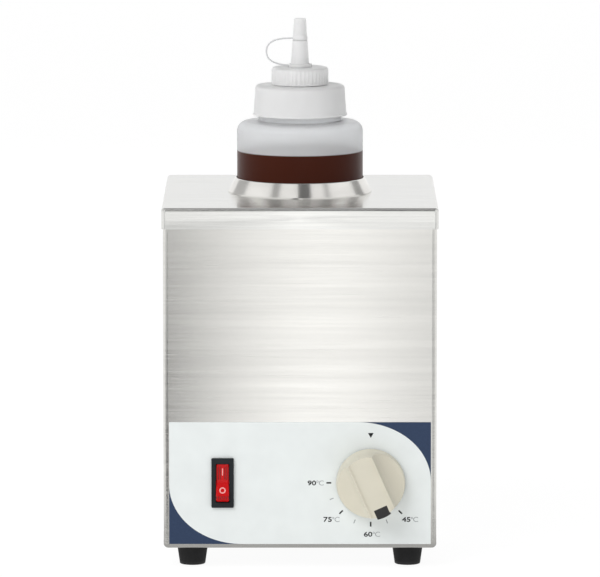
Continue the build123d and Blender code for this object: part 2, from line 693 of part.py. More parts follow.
with BuildPart() as gland_seal:
    with BuildSketch(facing_back(GLAND_X, GLAND_FACE_Y + GLAND_TUBE_OUT - GLAND_SEAL_L, GLAND_Z)):
        Circle(GLAND_TUBE_BORE_R)
        Circle(GLAND_BORE_R, mode=Mode.SUBTRACT)
    extrude(amount=GLAND_SEAL_L)
save(gland_seal.part, "gland_seal")

with BuildPart() as gland_locknut:
    with BuildSketch(facing_back(GLAND_X, BACK_Y, GLAND_Z)):
        RegularPolygon(GLAND_HEX_AF / 2, 6, major_radius=False)
        Circle(GLAND_THREAD_R, mode=Mode.SUBTRACT)
    extrude(amount=-(GLAND_IN - SHEET) / 2)
save(gland_locknut.part, "gland_locknut")

# Terminal block for the mains cord, on the base plate in front of the gland
BLOCK_X = -38.0
BLOCK_Y = 60.0
BLOCK_W = 34.0
BLOCK_D = 18.0
BLOCK_H = 17.0
BLOCK_PITCH = 10.0
BLOCK_BORE_R = 1.6
BLOCK_SCREW_R = 2.2
BLOCK_SCREW_H = 3.0
BLOCK_CORNER_R = 1.0
BLOCK_BORE_Z = BASE_TOP + 11.0
BLOCK_FRONT_Y = BLOCK_Y - BLOCK_D / 2
BLOCK_WAYS_X = [BLOCK_X - BLOCK_PITCH, BLOCK_X, BLOCK_X + BLOCK_PITCH]
with BuildPart() as terminal_block:
    with BuildSketch(upright(BLOCK_X, BLOCK_Y, BASE_TOP)):
        RectangleRounded(BLOCK_W, BLOCK_D, BLOCK_CORNER_R)
    extrude(amount=BLOCK_H)
    with BuildSketch(upright(BLOCK_X, BLOCK_Y, BASE_TOP + BLOCK_H)):
        with GridLocations(BLOCK_PITCH, BLOCK_D / 2, 3, 2):
            Circle(BLOCK_SCREW_R)
    extrude(amount=-BLOCK_SCREW_H, mode=Mode.SUBTRACT)
    with BuildSketch(facing_back(BLOCK_X, BLOCK_Y + BLOCK_D / 2, BLOCK_BORE_Z)):
        with GridLocations(BLOCK_PITCH, 0, 3, 1):
            Circle(BLOCK_BORE_R)
    extrude(amount=-BLOCK_D / 3, mode=Mode.SUBTRACT)
save(terminal_block.part, "terminal_block")

# ---------------------------------------------------------------- control label
with BuildPart() as control_label:
    with BuildSketch(facing_front(0, FRONT_Y, CONTROL_Z)):
        with Locations((0, LABEL_Z + LABEL_H / 2 - CONTROL_Z)):
            Rectangle(LABEL_W, LABEL_H)
        with Locations((SWITCH_X, 0)):
            Rectangle(SWITCH_W + 2 * HOLE_FIT, SWITCH_H + 2 * HOLE_FIT, mode=Mode.SUBTRACT)
        with Locations((KNOB_X, 0)):
            Circle(BUSH_R + CLEAR, mode=Mode.SUBTRACT)
        with Locations((KNOB_X - THERMO_SCREW_X, 0), (KNOB_X + THERMO_SCREW_X, 0)):
            Circle(M3_R + HOLE_FIT, mode=Mode.SUBTRACT)
    extrude(amount=LABEL_T)
save(control_label.part, "control_label")

# ---------------------------------------------------------------- rocker switch
BEZEL_FACE_Y = PANEL_FACE_Y - BEZEL_T
PIVOT_Y = BEZEL_FACE_Y + ROCKER_PIVOT_BACK
ROCKER_END_R = SWITCH_OPENING_H / 2 - ROCKER_GAP
ROCKER_W = SWITCH_OPENING_W - 2 * ROCKER_GAP

with BuildPart() as switch_housing:
    with BuildSketch(facing_front(SWITCH_X, PANEL_FACE_Y, CONTROL_Z)):
        RectangleRounded(BEZEL_W, BEZEL_H, BEZEL_CORNER_R)
    extrude(amount=BEZEL_T, taper=BEZEL_DRAFT)
    fillet(switch_housing.faces().sort_by(Axis.Y)[0].edges(), BEZEL_EDGE_R)
    with BuildSketch(facing_front(SWITCH_X, PANEL_FACE_Y, CONTROL_Z)):
        Rectangle(SWITCH_W, SWITCH_H)
    extrude(amount=-SWITCH_DEEP)
    with BuildSketch(facing_front(SWITCH_X, BEZEL_FACE_Y, CONTROL_Z)):
        Rectangle(SWITCH_OPENING_W, SWITCH_OPENING_H)
    extrude(amount=-SWITCH_POCKET, mode=Mode.SUBTRACT)
    with BuildSketch(Plane(origin=(SWITCH_X, PIVOT_Y, CONTROL_Z), x_dir=(0, 1, 0), z_dir=(1, 0, 0))):
        Circle(ROCKER_PIVOT_R + ROCKER_PIVOT_FIT)
    extrude(amount=SWITCH_W / 2, both=True, mode=Mode.SUBTRACT)
save(switch_housing.part, "switch_housing")

with BuildPart() as switch_terminals:
    with BuildSketch(facing_back(SWITCH_X, PANEL_FACE_Y + SWITCH_DEEP, CONTROL_Z)):
        with GridLocations(2 * SWITCH_TAB_X, 2 * SWITCH_TAB_Z, 2, 2):
            Rectangle(TAB_T, TAB_W)
    extrude(amount=TAB_L)
save(switch_terminals.part, "switch_terminals")

# Drawn upright with its axis through the origin, then tilted so that the upper half is in
rocker_slope = sin(radians(ROCKER_ANGLE)) / cos(radians(ROCKER_ANGLE))


def front_of_pivot(edge):
    """True of the edges round the rocker's face, in front of the pivot's axis."""
    return edge.center().Y < -ROCKER_VALLEY / 2


with BuildPart() as rocker_blank:
    with BuildSketch(Plane.YZ):
        Circle(ROCKER_END_R)
        with BuildLine():
            Polyline(
                (-ROCKER_VALLEY, 0),
                (-ROCKER_VALLEY - ROCKER_END_R * rocker_slope, ROCKER_END_R),
                (ROCKER_BACK, ROCKER_END_R),
                (ROCKER_BACK, -ROCKER_END_R),
                (-ROCKER_VALLEY - ROCKER_END_R * rocker_slope, -ROCKER_END_R),
                close=True,
            )
        make_face(mode=Mode.INTERSECT)
    extrude(amount=ROCKER_W / 2, both=True)
    fillet(rocker_blank.faces().filter_by(Axis.X).edges().filter_by(front_of_pivot), ROCKER_EDGE_R)
    with BuildSketch(Plane.YZ):
        Circle(ROCKER_PIVOT_R)
    extrude(amount=SWITCH_W / 2 - ROCKER_GAP, both=True)
rocker_at_rest = Location((SWITCH_X, PIVOT_Y, CONTROL_Z), (-ROCKER_ANGLE, 0, 0))
save(rocker_blank.part.moved(rocker_at_rest), "switch_rocker")

# ---------------------------------------------------------------- thermostat
THERMO_PLATE_Y = INNER_FRONT_Y
THERMO_BODY_Y = THERMO_PLATE_Y + THERMO_PLATE_T
THERMO_BACK_Y = THERMO_BODY_Y + THERMO_DEEP
KNOB_BACK_Y = PANEL_FACE_Y - KNOB_OFF_PANEL
BUSH_TOP_Y = PANEL_FACE_Y - BUSH_OUT

with BuildPart() as thermostat_plate:
    with BuildSketch(facing_back(KNOB_X, THERMO_PLATE_Y, CONTROL_Z)):
        RectangleRounded(THERMO_W, THERMO_H * 3 / 4, THERMO_CORNER_R)
        Circle(BUSH_R, mode=Mode.SUBTRACT)
        with GridLocations(2 * THERMO_SCREW_X, 0, 2, 1):
            Circle(M3_R, mode=Mode.SUBTRACT)
    extrude(amount=THERMO_PLATE_T)
save(thermostat_plate.part, "thermostat_plate")

with BuildPart() as thermostat_body:
    with BuildSketch(facing_back(KNOB_X, THERMO_BODY_Y, CONTROL_Z)):
        RectangleRounded(THERMO_W, THERMO_H, THERMO_CORNER_R)
    extrude(amount=THERMO_DEEP)
    with BuildSketch(facing_back(KNOB_X, THERMO_BODY_Y, CONTROL_Z)):
        Circle(SHAFT_R + SHAFT_FIT)
        with GridLocations(2 * THERMO_SCREW_X, 0, 2, 1):
            Circle(M3_R + HOLE_FIT)
    extrude(amount=SHAFT_IN_BODY + CLEAR, mode=Mode.SUBTRACT)
save(thermostat_body.part, "thermostat_body")

with BuildPart() as thermostat_bush:
    with BuildSketch(facing_front(KNOB_X, THERMO_BODY_Y, CONTROL_Z)):
        Circle(BUSH_R)
        Circle(SHAFT_R + SHAFT_FIT, mode=Mode.SUBTRACT)
    extrude(amount=THERMO_BODY_Y - BUSH_TOP_Y)
save(thermostat_bush.part, "thermostat_bush")

with BuildPart() as thermostat_screws:
    with BuildSketch(facing_front(KNOB_X, PANEL_FACE_Y, CONTROL_Z)):
        with GridLocations(2 * THERMO_SCREW_X, 0, 2, 1):
            Circle(M3_HEAD_R)
    extrude(amount=M3_HEAD_H)
    with BuildSketch(facing_front(KNOB_X, PANEL_FACE_Y, CONTROL_Z)):
        with GridLocations(2 * THERMO_SCREW_X, 0, 2, 1):
            Circle(M3_R)
    extrude(amount=-THERMO_SCREW_L)
save(thermostat_screws.part, "thermostat_screws")

with BuildPart() as thermostat_tabs:
    with BuildSketch(facing_back(KNOB_X, THERMO_BACK_Y, CONTROL_Z + THERMO_TAB_Z)):
        with GridLocations(2 * THERMO_TAB_X, 0, 2, 1):
            Rectangle(TAB_T, TAB_W)
    extrude(amount=TAB_L)
save(thermostat_tabs.part, "thermostat_tabs")

with BuildPart() as thermostat_shaft:
    with BuildSketch(facing_front(KNOB_X, THERMO_BODY_Y + SHAFT_IN_BODY, CONTROL_Z)):
        Circle(SHAFT_R)
    extrude(amount=SHAFT_IN_BODY + THERMO_BODY_Y - KNOB_BACK_Y + SHAFT_IN_KNOB)
    with BuildSketch(facing_front(KNOB_X, KNOB_BACK_Y, CONTROL_Z)):
        with Locations((0, 2 * SHAFT_R - SHAFT_FLAT)):
            Rectangle(2 * SHAFT_R, 2 * SHAFT_R)
    extrude(amount=SHAFT_IN_KNOB, mode=Mode.SUBTRACT)
save(thermostat_shaft.part, "thermostat_shaft")

# ---------------------------------------------------------------- knob
# The bar runs along the plane's x axis, with its pointer at the positive end
BAR_DIR = Vector(sin(radians(KNOB_DEG)), 0, cos(radians(KNOB_DEG)))
knob_plane = Plane(origin=(KNOB_X, KNOB_BACK_Y, CONTROL_Z), x_dir=BAR_DIR, z_dir=(0, -1, 0))
knob_taper = 180 / pi * (KNOB_R - KNOB_FACE_R) / KNOB_H
scoop_plane = Plane(origin=knob_plane.origin - BAR_DIR * 2 * KNOB_R, x_dir=knob_plane.y_dir, z_dir=BAR_DIR)

with BuildPart() as knob_blank:
    with BuildSketch(knob_plane):
        Circle(KNOB_R)
    extrude(amount=KNOB_H, taper=knob_taper)

with BuildPart() as knob_shape:
    add(knob_blank.part)
    for side in (-1, 1):
        bar_edge = side * KNOB_BAR_W / 2
        rim_edge = side * (KNOB_BAR_W / 2 + KNOB_SCOOP_R)
        with BuildSketch(scoop_plane):
            with BuildLine():
                Polyline(
                    (rim_edge, KNOB_H - KNOB_SCOOP_R),
                    (rim_edge, KNOB_H + 1),
                    (bar_edge, KNOB_H + 1),
                    (bar_edge, KNOB_H),
                )
                ThreePointArc(
                    (bar_edge, KNOB_H),
                    (
                        rim_edge - side * KNOB_SCOOP_R * cos(radians(45)),
                        KNOB_H - KNOB_SCOOP_R * sin(radians(45)),
                    ),
                    (rim_edge, KNOB_H - KNOB_SCOOP_R),
                )
            make_face()
        extrude(amount=4 * KNOB_R, mode=Mode.SUBTRACT)
    fillet(knob_shape.faces().sort_by(Axis.Y)[0].edges(), KNOB_EDGE)
    with BuildSketch(knob_plane.offset(KNOB_H - KNOB_DISH)):
        Rectangle(4 * KNOB_R, KNOB_BAR_W - 2 * KNOB_RIM)
    extrude(amount=KNOB_DISH, mode=Mode.SUBTRACT)

with BuildPart() as knob_pointer:
    with BuildSketch(knob_plane.offset(KNOB_H - KNOB_DISH - POINTER_T)):
        with Locations((KNOB_FACE_R - POINTER_L / 2 + POINTER_OUT, 0)):
            Rectangle(POINTER_L + 2 * POINTER_OUT, POINTER_W)
    extrude(amount=POINTER_T)
    with BuildSketch(knob_plane.offset(KNOB_H - POINTER_SIDE)):
        with Locations((KNOB_FACE_R + POINTER_T, 0)):
            Rectangle(4 * POINTER_T, POINTER_W)
    extrude(amount=POINTER_SIDE - KNOB_DISH)
    with BuildSketch(knob_plane):
        Circle(KNOB_R + POINTER_OUT)
    extrude(amount=KNOB_H, taper=knob_taper, mode=Mode.INTERSECT)
save(knob_pointer.part, "knob_pointer")

with BuildPart() as knob:
    add(knob_shape.part)
    with BuildSketch(knob_plane):
        Circle(KNOB_R - KNOB_WALL)
        Circle(KNOB_HUB_R, mode=Mode.SUBTRACT)
    extrude(amount=KNOB_HOLLOW, mode=Mode.SUBTRACT)
    add(thermostat_shaft.part, mode=Mode.SUBTRACT)
    add(knob_pointer.part, mode=Mode.SUBTRACT)
save(knob.part, "knob")

# ---------------------------------------------------------------- bottle
with BuildPart() as bottle_body:
    with BuildSketch(Plane.XZ):
        with BuildLine():
            Line((0, BOTTLE_Z), (BOTTLE_R - BOTTLE_HEEL_R, BOTTLE_Z))
            RadiusArc(
                (BOTTLE_R - BOTTLE_HEEL_R, BOTTLE_Z), (BOTTLE_R, BOTTLE_Z + BOTTLE_HEEL_R), -BOTTLE_HEEL_R
            )
            Line((BOTTLE_R, BOTTLE_Z + BOTTLE_HEEL_R), (BOTTLE_R, SHOULDER_Z))
            RadiusArc((BOTTLE_R, SHOULDER_Z), (BOTTLE_R - SHOULDER_R, SHOULDER_Z + SHOULDER_R), -SHOULDER_R)
            Polyline(
                (BOTTLE_R - SHOULDER_R, SHOULDER_Z + SHOULDER_R),
                (NECK_R, NECK_Z),
                (NECK_R, NECK_TOP),
                (NECK_BORE_R, NECK_TOP),
                (NECK_BORE_R, NECK_Z - BOTTLE_WALL),
                (BOTTLE_R - SHOULDER_R, SHOULDER_Z + SHOULDER_R - BOTTLE_WALL),
            )
            RadiusArc(
                (BOTTLE_R - SHOULDER_R, SHOULDER_Z + SHOULDER_R - BOTTLE_WALL),
                (BOTTLE_R - BOTTLE_WALL, SHOULDER_Z),
                SHOULDER_R - BOTTLE_WALL,
            )
            Line((BOTTLE_R - BOTTLE_WALL, SHOULDER_Z), (BOTTLE_R - BOTTLE_WALL, BOTTLE_Z + BOTTLE_HEEL_R))
            RadiusArc(
                (BOTTLE_R - BOTTLE_WALL, BOTTLE_Z + BOTTLE_HEEL_R),
                (BOTTLE_R - BOTTLE_HEEL_R, BOTTLE_Z + BOTTLE_WALL),
                BOTTLE_HEEL_R - BOTTLE_WALL,
            )
            Polyline(
                (BOTTLE_R - BOTTLE_HEEL_R, BOTTLE_Z + BOTTLE_WALL),
                (0, BOTTLE_Z + BOTTLE_WALL),
                (0, BOTTLE_Z),
            )
        make_face()
    revolve(axis=Axis.Z)
save(bottle_body.part, "bottle_body")

SAUCE_R = BOTTLE_R - BOTTLE_WALL - SAUCE_GAP
SAUCE_BOTTOM_Z = BOTTLE_Z + BOTTLE_WALL + SAUCE_GAP
with BuildPart() as sauce:
    with BuildSketch(Plane.XY.offset(SAUCE_BOTTOM_Z)):
        Circle(SAUCE_R)
    extrude(amount=SAUCE_Z - SAUCE_BOTTOM_Z)
    fillet(sauce.faces().sort_by(Axis.Z)[0].edges(), BOTTLE_HEEL_R - BOTTLE_WALL)
save(sauce.part, "sauce")

with BuildPart() as cap_seal:
    with BuildSketch(Plane.XY.offset(NECK_TOP)):
        Circle(NECK_R)
        Circle(NECK_BORE_R - SEAL_OVER, mode=Mode.SUBTRACT)
    extrude(amount=SEAL_T)
save(cap_seal.part, "cap_seal")

with BuildPart() as bottle_cap:
    with BuildSketch(Plane.XZ):
        with BuildLine():
            Polyline(
                (CAP_BORE_R, CAP_Z),
                (CAP_LIP_R, CAP_Z),
                (CAP_LIP_R, CAP_Z + CAP_LIP_H),
                (CAP_R_BOTTOM, CAP_Z + CAP_LIP_H),
                (CAP_R_TOP, CAP_TOP - CAP_EDGE),
                (CAP_R_TOP - CAP_EDGE, CAP_TOP),
                (SPIGOT_R, CAP_TOP),
                (SPIGOT_R, SPIGOT_TOP),
                (SPIGOT_BORE_R, SPIGOT_TOP),
                (SPIGOT_BORE_R, CAP_TOP - CAP_TOP_T),
                (CAP_BORE_R, CAP_TOP - CAP_TOP_T),
                close=True,
            )
        make_face()
    revolve(axis=Axis.Z)
save(bottle_cap.part, "bottle_cap")

with BuildPart() as nozzle_seal:
    with BuildSketch(Plane.XY.offset(SPIGOT_TOP)):
        Circle(SPIGOT_R)
        Circle(SPIGOT_BORE_R, mode=Mode.SUBTRACT)
    extrude(amount=SEAL_T)
save(nozzle_seal.part, "nozzle_seal")

NOZZLE_UNDER_Z = NOZZLE_TOP - CAP_TOP_T
SPOUT_STEP_Z = TIP_Z - TIP_GAP
with BuildPart() as nozzle_cap:
    with BuildSketch(Plane.XZ):
        with BuildLine():
            Polyline(
                (NOZZLE_BORE_R, NOZZLE_UNDER_Z),
                (NOZZLE_BORE_R, NOZZLE_Z),
                (NOZZLE_R, NOZZLE_Z),
                (NOZZLE_R, NOZZLE_TOP - NOZZLE_EDGE),
            )
            RadiusArc(
                (NOZZLE_R, NOZZLE_TOP - NOZZLE_EDGE), (NOZZLE_R - NOZZLE_EDGE, NOZZLE_TOP), -NOZZLE_EDGE
            )
            Polyline(
                (NOZZLE_R - NOZZLE_EDGE, NOZZLE_TOP),
                (SPOUT_R_BASE, NOZZLE_TOP),
                (SPOUT_R_STEP, SPOUT_STEP_Z),
                (SPOUT_R_SEAT, SPOUT_STEP_Z),
                (SPOUT_R_TIP, SPOUT_TOP),
                (SPOUT_BORE_TIP, SPOUT_TOP),
                (SPOUT_BORE_BASE, NOZZLE_UNDER_Z),
                (NOZZLE_BORE_R, NOZZLE_UNDER_Z),
            )
        make_face()
    revolve(axis=Axis.Z)
save(nozzle_cap.part, "nozzle_cap")

LUG_W = STRAP_W + 0.8
RING_MID_Z = NOZZLE_TOP + RING_H / 2
TIP_LUG_Z = TIP_Z + RING_H / 2
with BuildPart() as tip_closure:
    with BuildSketch(Plane.XZ):
        with BuildLine():
            Polyline(
                (SPOUT_R_SEAT + TIP_GAP, TIP_Z),
                (TIP_R_RIM, TIP_Z),
                (TIP_R_TOP, TIP_TOP),
                (0, TIP_TOP),
                (0, SPOUT_TOP + TIP_GAP),
                (SPOUT_R_TIP + TIP_GAP, SPOUT_TOP + TIP_GAP),
                close=True,
            )
        make_face()
    revolve(axis=Axis.Z)
    fillet(tip_closure.faces().sort_by(Axis.Z)[-1].edges(), TIP_EDGE)
    with BuildSketch(Plane.XY.offset(TIP_Z)):
        with Locations((-TIP_R_RIM, 0)):
            Rectangle(2 * LUG_OUT, LUG_W)
    extrude(amount=RING_H)
save(tip_closure.part, "tip_closure")

with BuildPart() as tether_ring:
    with BuildSketch(Plane.XY.offset(NOZZLE_TOP)):
        Circle(RING_R)
        with Locations((-RING_R, 0)):
            Rectangle(2 * LUG_OUT, LUG_W)
        Circle(RING_BORE_R, mode=Mode.SUBTRACT)
    extrude(amount=RING_H)
save(tether_ring.part, "tether_ring")

STRAP_BEND_R = (TIP_LUG_Z - RING_MID_Z) / 2
STRAP_BEND_X = -STRAP_OUT + STRAP_T / 2 + STRAP_BEND_R
with BuildPart() as tether_strap:
    with BuildSketch(Plane.XZ):
        with BuildLine() as strap_line:
            Line((-TIP_R_RIM - LUG_OUT, TIP_LUG_Z), (STRAP_BEND_X, TIP_LUG_Z))
            RadiusArc((STRAP_BEND_X, TIP_LUG_Z), (STRAP_BEND_X, RING_MID_Z), -STRAP_BEND_R)
            Line((STRAP_BEND_X, RING_MID_Z), (-RING_R - LUG_OUT, RING_MID_Z))
        trace(strap_line.line, line_width=STRAP_T)
    extrude(amount=STRAP_W / 2, both=True)
save(tether_strap.part, "tether_strap")


# ---------------------------------------------------------------- capillary and wires
def bend_radii(points):
    """One radius for each corner of a route, as large as its two runs allow."""
    radii = []
    for before, corner, after in zip(points, points[1:], points[2:]):
        into = Vector(corner) - Vector(before)
        out = Vector(after) - Vector(corner)
        turn = radians(into.get_angle(out))
        radii.append(0.45 * min(into.length, out.length) * cos(turn / 2) / sin(turn / 2))
    return radii


def run_tube(name, points, radius):
    """A round tube or wire along straight runs joined by tangent arcs."""
    radii = bend_radii(points)
    with BuildPart() as tube:
        with BuildLine() as path:
            route = FilletPolyline(*points, radius=radii)
        with BuildSketch(Plane(origin=route @ 0, z_dir=route % 0)):
            Circle(radius)
        sweep(path=path.line)
    length = sum(edge.length for edge in path.edges())
    print(name, "length", round(length, 1), "radii", [round(r, 1) for r in radii])
    print("    volume over section times length", round(tube.part.volume / (pi * radius**2 * length), 4))
    save(tube.part, name)


CAPILLARY_END_Z = CONTROL_Z - 11.0
SWITCH_TAB_Y = PANEL_FACE_Y + SWITCH_DEEP + TAB_L
THERMO_TAB_Y = THERMO_BACK_Y + TAB_L
THERMO_TAB_UP = CONTROL_Z + THERMO_TAB_Z
LEAD_R = WELL_OUT_R + WIRE_R + 0.05
lead_angle = radians(HEATER_GAP_DEG / 2 + 8)
LEAD_X = LEAD_R * sin(lead_angle)
LEAD_Y = -LEAD_R * cos(lead_angle)
CUTOUT_TAB_Z = WELL_UNDER_Z - CUTOUT_H - CUTOUT_TAB_H
TAB_LEFT_X = SWITCH_X - SWITCH_TAB_X
TAB_RIGHT_X = SWITCH_X + SWITCH_TAB_X
TAB_UPPER_Z = CONTROL_Z + SWITCH_TAB_Z
TAB_LOWER_Z = CONTROL_Z - SWITCH_TAB_Z

run_tube(
    "capillary_tube",
    [
        (0, BULB_Y, BULB_Z),
        (0, BULB_Y, BULB_Z - 34),
        (24, -56, 78),
        (KNOB_X, THERMO_BACK_Y + 22, CAPILLARY_END_Z),
        (KNOB_X, THERMO_BACK_Y, CAPILLARY_END_Z),
    ],
    CAPILLARY_R,
)
run_tube(
    "wire_live_in",
    [
        (BLOCK_WAYS_X[0], BLOCK_FRONT_Y, BLOCK_BORE_Z),
        (BLOCK_WAYS_X[0], 24, BLOCK_BORE_Z),
        (TAB_LEFT_X - 6, -16, 40),
        (TAB_LEFT_X, -48, TAB_UPPER_Z),
        (TAB_LEFT_X, SWITCH_TAB_Y, TAB_UPPER_Z),
    ],
    WIRE_R,
)
run_tube(
    "wire_neutral_in",
    [
        (BLOCK_WAYS_X[1], BLOCK_FRONT_Y, BLOCK_BORE_Z),
        (BLOCK_WAYS_X[1], 24, BLOCK_BORE_Z),
        (TAB_RIGHT_X + 3, -16, 40),
        (TAB_RIGHT_X, -48, TAB_UPPER_Z),
        (TAB_RIGHT_X, SWITCH_TAB_Y, TAB_UPPER_Z),
    ],
    WIRE_R,
)
run_tube(
    "wire_earth",
    [
        (BLOCK_WAYS_X[2], BLOCK_FRONT_Y, BLOCK_BORE_Z),
        (BLOCK_WAYS_X[2], 30, BLOCK_BORE_Z),
        (0, 14, 24),
        (EARTH_SPOT[0], 30, BASE_TOP + NUT_H + WIRE_R + RING_TAG_T),
        (EARTH_SPOT[0], EARTH_SPOT[1] - M4_NUT_AF / 2, BASE_TOP + NUT_H + WIRE_R + RING_TAG_T),
    ],
    WIRE_R,
)
run_tube(
    "wire_switched_live",
    [
        (TAB_RIGHT_X, SWITCH_TAB_Y, TAB_LOWER_Z),
        (TAB_RIGHT_X, -50, TAB_LOWER_Z),
        (-10, -34, 50),
        (KNOB_X - THERMO_TAB_X, -40, THERMO_TAB_UP),
        (KNOB_X - THERMO_TAB_X, THERMO_TAB_Y, THERMO_TAB_UP),
    ],
    WIRE_R,
)
run_tube(
    "wire_thermostat_out",
    [
        (KNOB_X + THERMO_TAB_X, THERMO_TAB_Y, THERMO_TAB_UP),
        (KNOB_X + THERMO_TAB_X, -42, THERMO_TAB_UP),
        (34, -14, 76),
        (CUTOUT_TAB_X, 0, 84),
        (CUTOUT_TAB_X, 0, CUTOUT_TAB_Z),
    ],
    WIRE_R,
)
run_tube(
    "wire_heater_live",
    [
        (-CUTOUT_TAB_X, 0, CUTOUT_TAB_Z),
        (-CUTOUT_TAB_X, 0, 90),
        (4, -24, 84),
        (LEAD_X, LEAD_Y, 96),
        (LEAD_X, LEAD_Y, HEATER_Z),
    ],
    WIRE_R,
)
run_tube(
    "wire_heater_neutral",
    [
        (TAB_LEFT_X, SWITCH_TAB_Y, TAB_LOWER_Z),
        (TAB_LEFT_X, -56, TAB_LOWER_Z),
        (-36, -58, 78),
        (-LEAD_X, LEAD_Y, 104),
        (-LEAD_X, LEAD_Y, HEATER_Z),
    ],
    WIRE_R,
)
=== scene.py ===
"""The looks of a squeeze bottle warmer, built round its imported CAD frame. Lengths are in metres."""

import json
import math

import bmesh
import bpy
from mathutils import Matrix, Vector


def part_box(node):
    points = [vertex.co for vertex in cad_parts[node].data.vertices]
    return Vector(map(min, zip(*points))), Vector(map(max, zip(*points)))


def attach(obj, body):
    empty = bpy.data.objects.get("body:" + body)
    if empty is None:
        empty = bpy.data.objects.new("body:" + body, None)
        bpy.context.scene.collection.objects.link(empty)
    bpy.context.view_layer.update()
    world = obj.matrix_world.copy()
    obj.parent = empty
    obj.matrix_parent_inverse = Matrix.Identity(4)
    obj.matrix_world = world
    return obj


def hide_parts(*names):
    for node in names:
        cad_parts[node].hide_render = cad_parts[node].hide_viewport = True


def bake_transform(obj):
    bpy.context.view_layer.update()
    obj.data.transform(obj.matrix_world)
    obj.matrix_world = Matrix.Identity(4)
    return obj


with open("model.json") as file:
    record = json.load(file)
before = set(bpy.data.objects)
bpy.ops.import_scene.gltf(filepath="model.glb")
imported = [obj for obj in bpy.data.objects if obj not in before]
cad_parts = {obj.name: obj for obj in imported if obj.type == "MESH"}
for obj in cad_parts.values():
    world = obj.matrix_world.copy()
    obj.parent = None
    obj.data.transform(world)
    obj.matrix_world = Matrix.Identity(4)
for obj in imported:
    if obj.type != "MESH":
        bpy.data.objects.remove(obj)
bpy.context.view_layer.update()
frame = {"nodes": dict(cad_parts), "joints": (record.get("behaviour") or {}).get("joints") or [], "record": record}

MM = 0.001
TURN = 2 * math.pi


# ---------------------------------------------------------------- meshes
def add_object(name, mesh, sharp=40):
    """An object of a bmesh, smooth apart from edges sharper than that angle in degrees."""
    data = bpy.data.meshes.new(name)
    bmesh.ops.recalc_face_normals(mesh, faces=mesh.faces)
    mesh.to_mesh(data)
    mesh.free()
    for polygon in data.polygons:
        polygon.use_smooth = True
    data.set_sharp_from_angle(angle=math.radians(sharp))
    made = bpy.data.objects.new(name, data)
    bpy.context.scene.collection.objects.link(made)
    return made


def arc(centre_r, centre_z, radius, start, end, steps=8):
    """Points (radius, height) of an arc in a lathe's profile, with its angles in degrees."""
    angles = [math.radians(start + (end - start) * k / steps) for k in range(steps + 1)]
    return [(centre_r + radius * math.cos(a), centre_z + radius * math.sin(a)) for a in angles]


def run(start, end, steps):
    """Evenly spaced points of a straight stretch in a lathe's profile, both ends included."""
    return [
        (start[0] + (end[0] - start[0]) * k / steps, start[1] + (end[1] - start[1]) * k / steps)
        for k in range(steps + 1)
    ]


def lathe(name, profile, segments=192, relief=None, sharp=40):
    """A closed solid of revolution about Z. Its profile is a loop of (radius, height); relief adds to the radius."""
    mesh = bmesh.new()
    rings = []
    for radius, height in profile:
        if radius == 0:
            rings.append([mesh.verts.new((0, 0, height))] * segments)
            continue
        ring = []
        for k in range(segments):
            angle = TURN * k / segments
            out = radius + (relief(angle, radius, height) if relief else 0)
            ring.append(mesh.verts.new((out * math.cos(angle), out * math.sin(angle), height)))
        rings.append(ring)
    for lower, upper in zip(rings, rings[1:] + rings[:1]):
        for k in range(segments):
            after = (k + 1) % segments
            corners = list(dict.fromkeys([lower[k], lower[after], upper[after], upper[k]]))
            if len(corners) > 2:
                mesh.faces.new(corners)
    return add_object(name, mesh, sharp)


def fade(value, low, high, edge):
    """1 between low and high, falling to 0 over an edge's width inside either end."""
    return max(0.0, min(1.0, (value - low) / edge, (high - value) / edge))


def thread(pitch, depth, low, high):
    """The relief of a right-handed screw thread between two heights."""

    def relief(angle, height):
        phase = (height - low) / pitch - angle / TURN
        crest = max(0.0, math.cos(TURN * phase)) ** 0.7
        return depth * crest * fade(height, low, high, pitch / 2)

    return relief


def slab(name, outline, y, thickness, front=-1):
    """A thin plate in the plane at y, its outline a loop of (x, z), grown towards the front."""
    mesh = bmesh.new()
    near = [mesh.verts.new((x, y + front * thickness, z)) for x, z in outline]
    far = [mesh.verts.new((x, y, z)) for x, z in outline]
    mesh.faces.new(near)
    mesh.faces.new(far[::-1])
    for k in range(len(outline)):
        after = (k + 1) % len(outline)
        mesh.faces.new((near[k], far[k], far[after], near[after]))
    mesh.normal_update()
    bmesh.ops.triangulate(mesh, faces=[f for f in mesh.faces if len(f.verts) > 4])
    return add_object(name, mesh, 30)


def join(name, objects):
    """One object of several meshes, under a new name."""
    mesh = bmesh.new()
    for item in objects:
        data = item.data.copy()
        data.transform(item.matrix_world)
        mesh.from_mesh(data)
        bpy.data.meshes.remove(data)
        bpy.data.objects.remove(item)
    return add_object(name, mesh, 30)


# ---------------------------------------------------------------- materials
def srgb(red, green, blue):
    """A linear colour from the usual 0 to 255 values."""
    parts = [c / 255 for c in (red, green, blue)]
    return tuple(p / 12.92 if p <= 0.04045 else ((p + 0.055) / 1.055) ** 2.4 for p in parts) + (1.0,)


def shade(colour, factor):
    """A colour made darker or lighter."""
    return tuple(min(1.0, c * factor) for c in colour[:3]) + (1.0,)


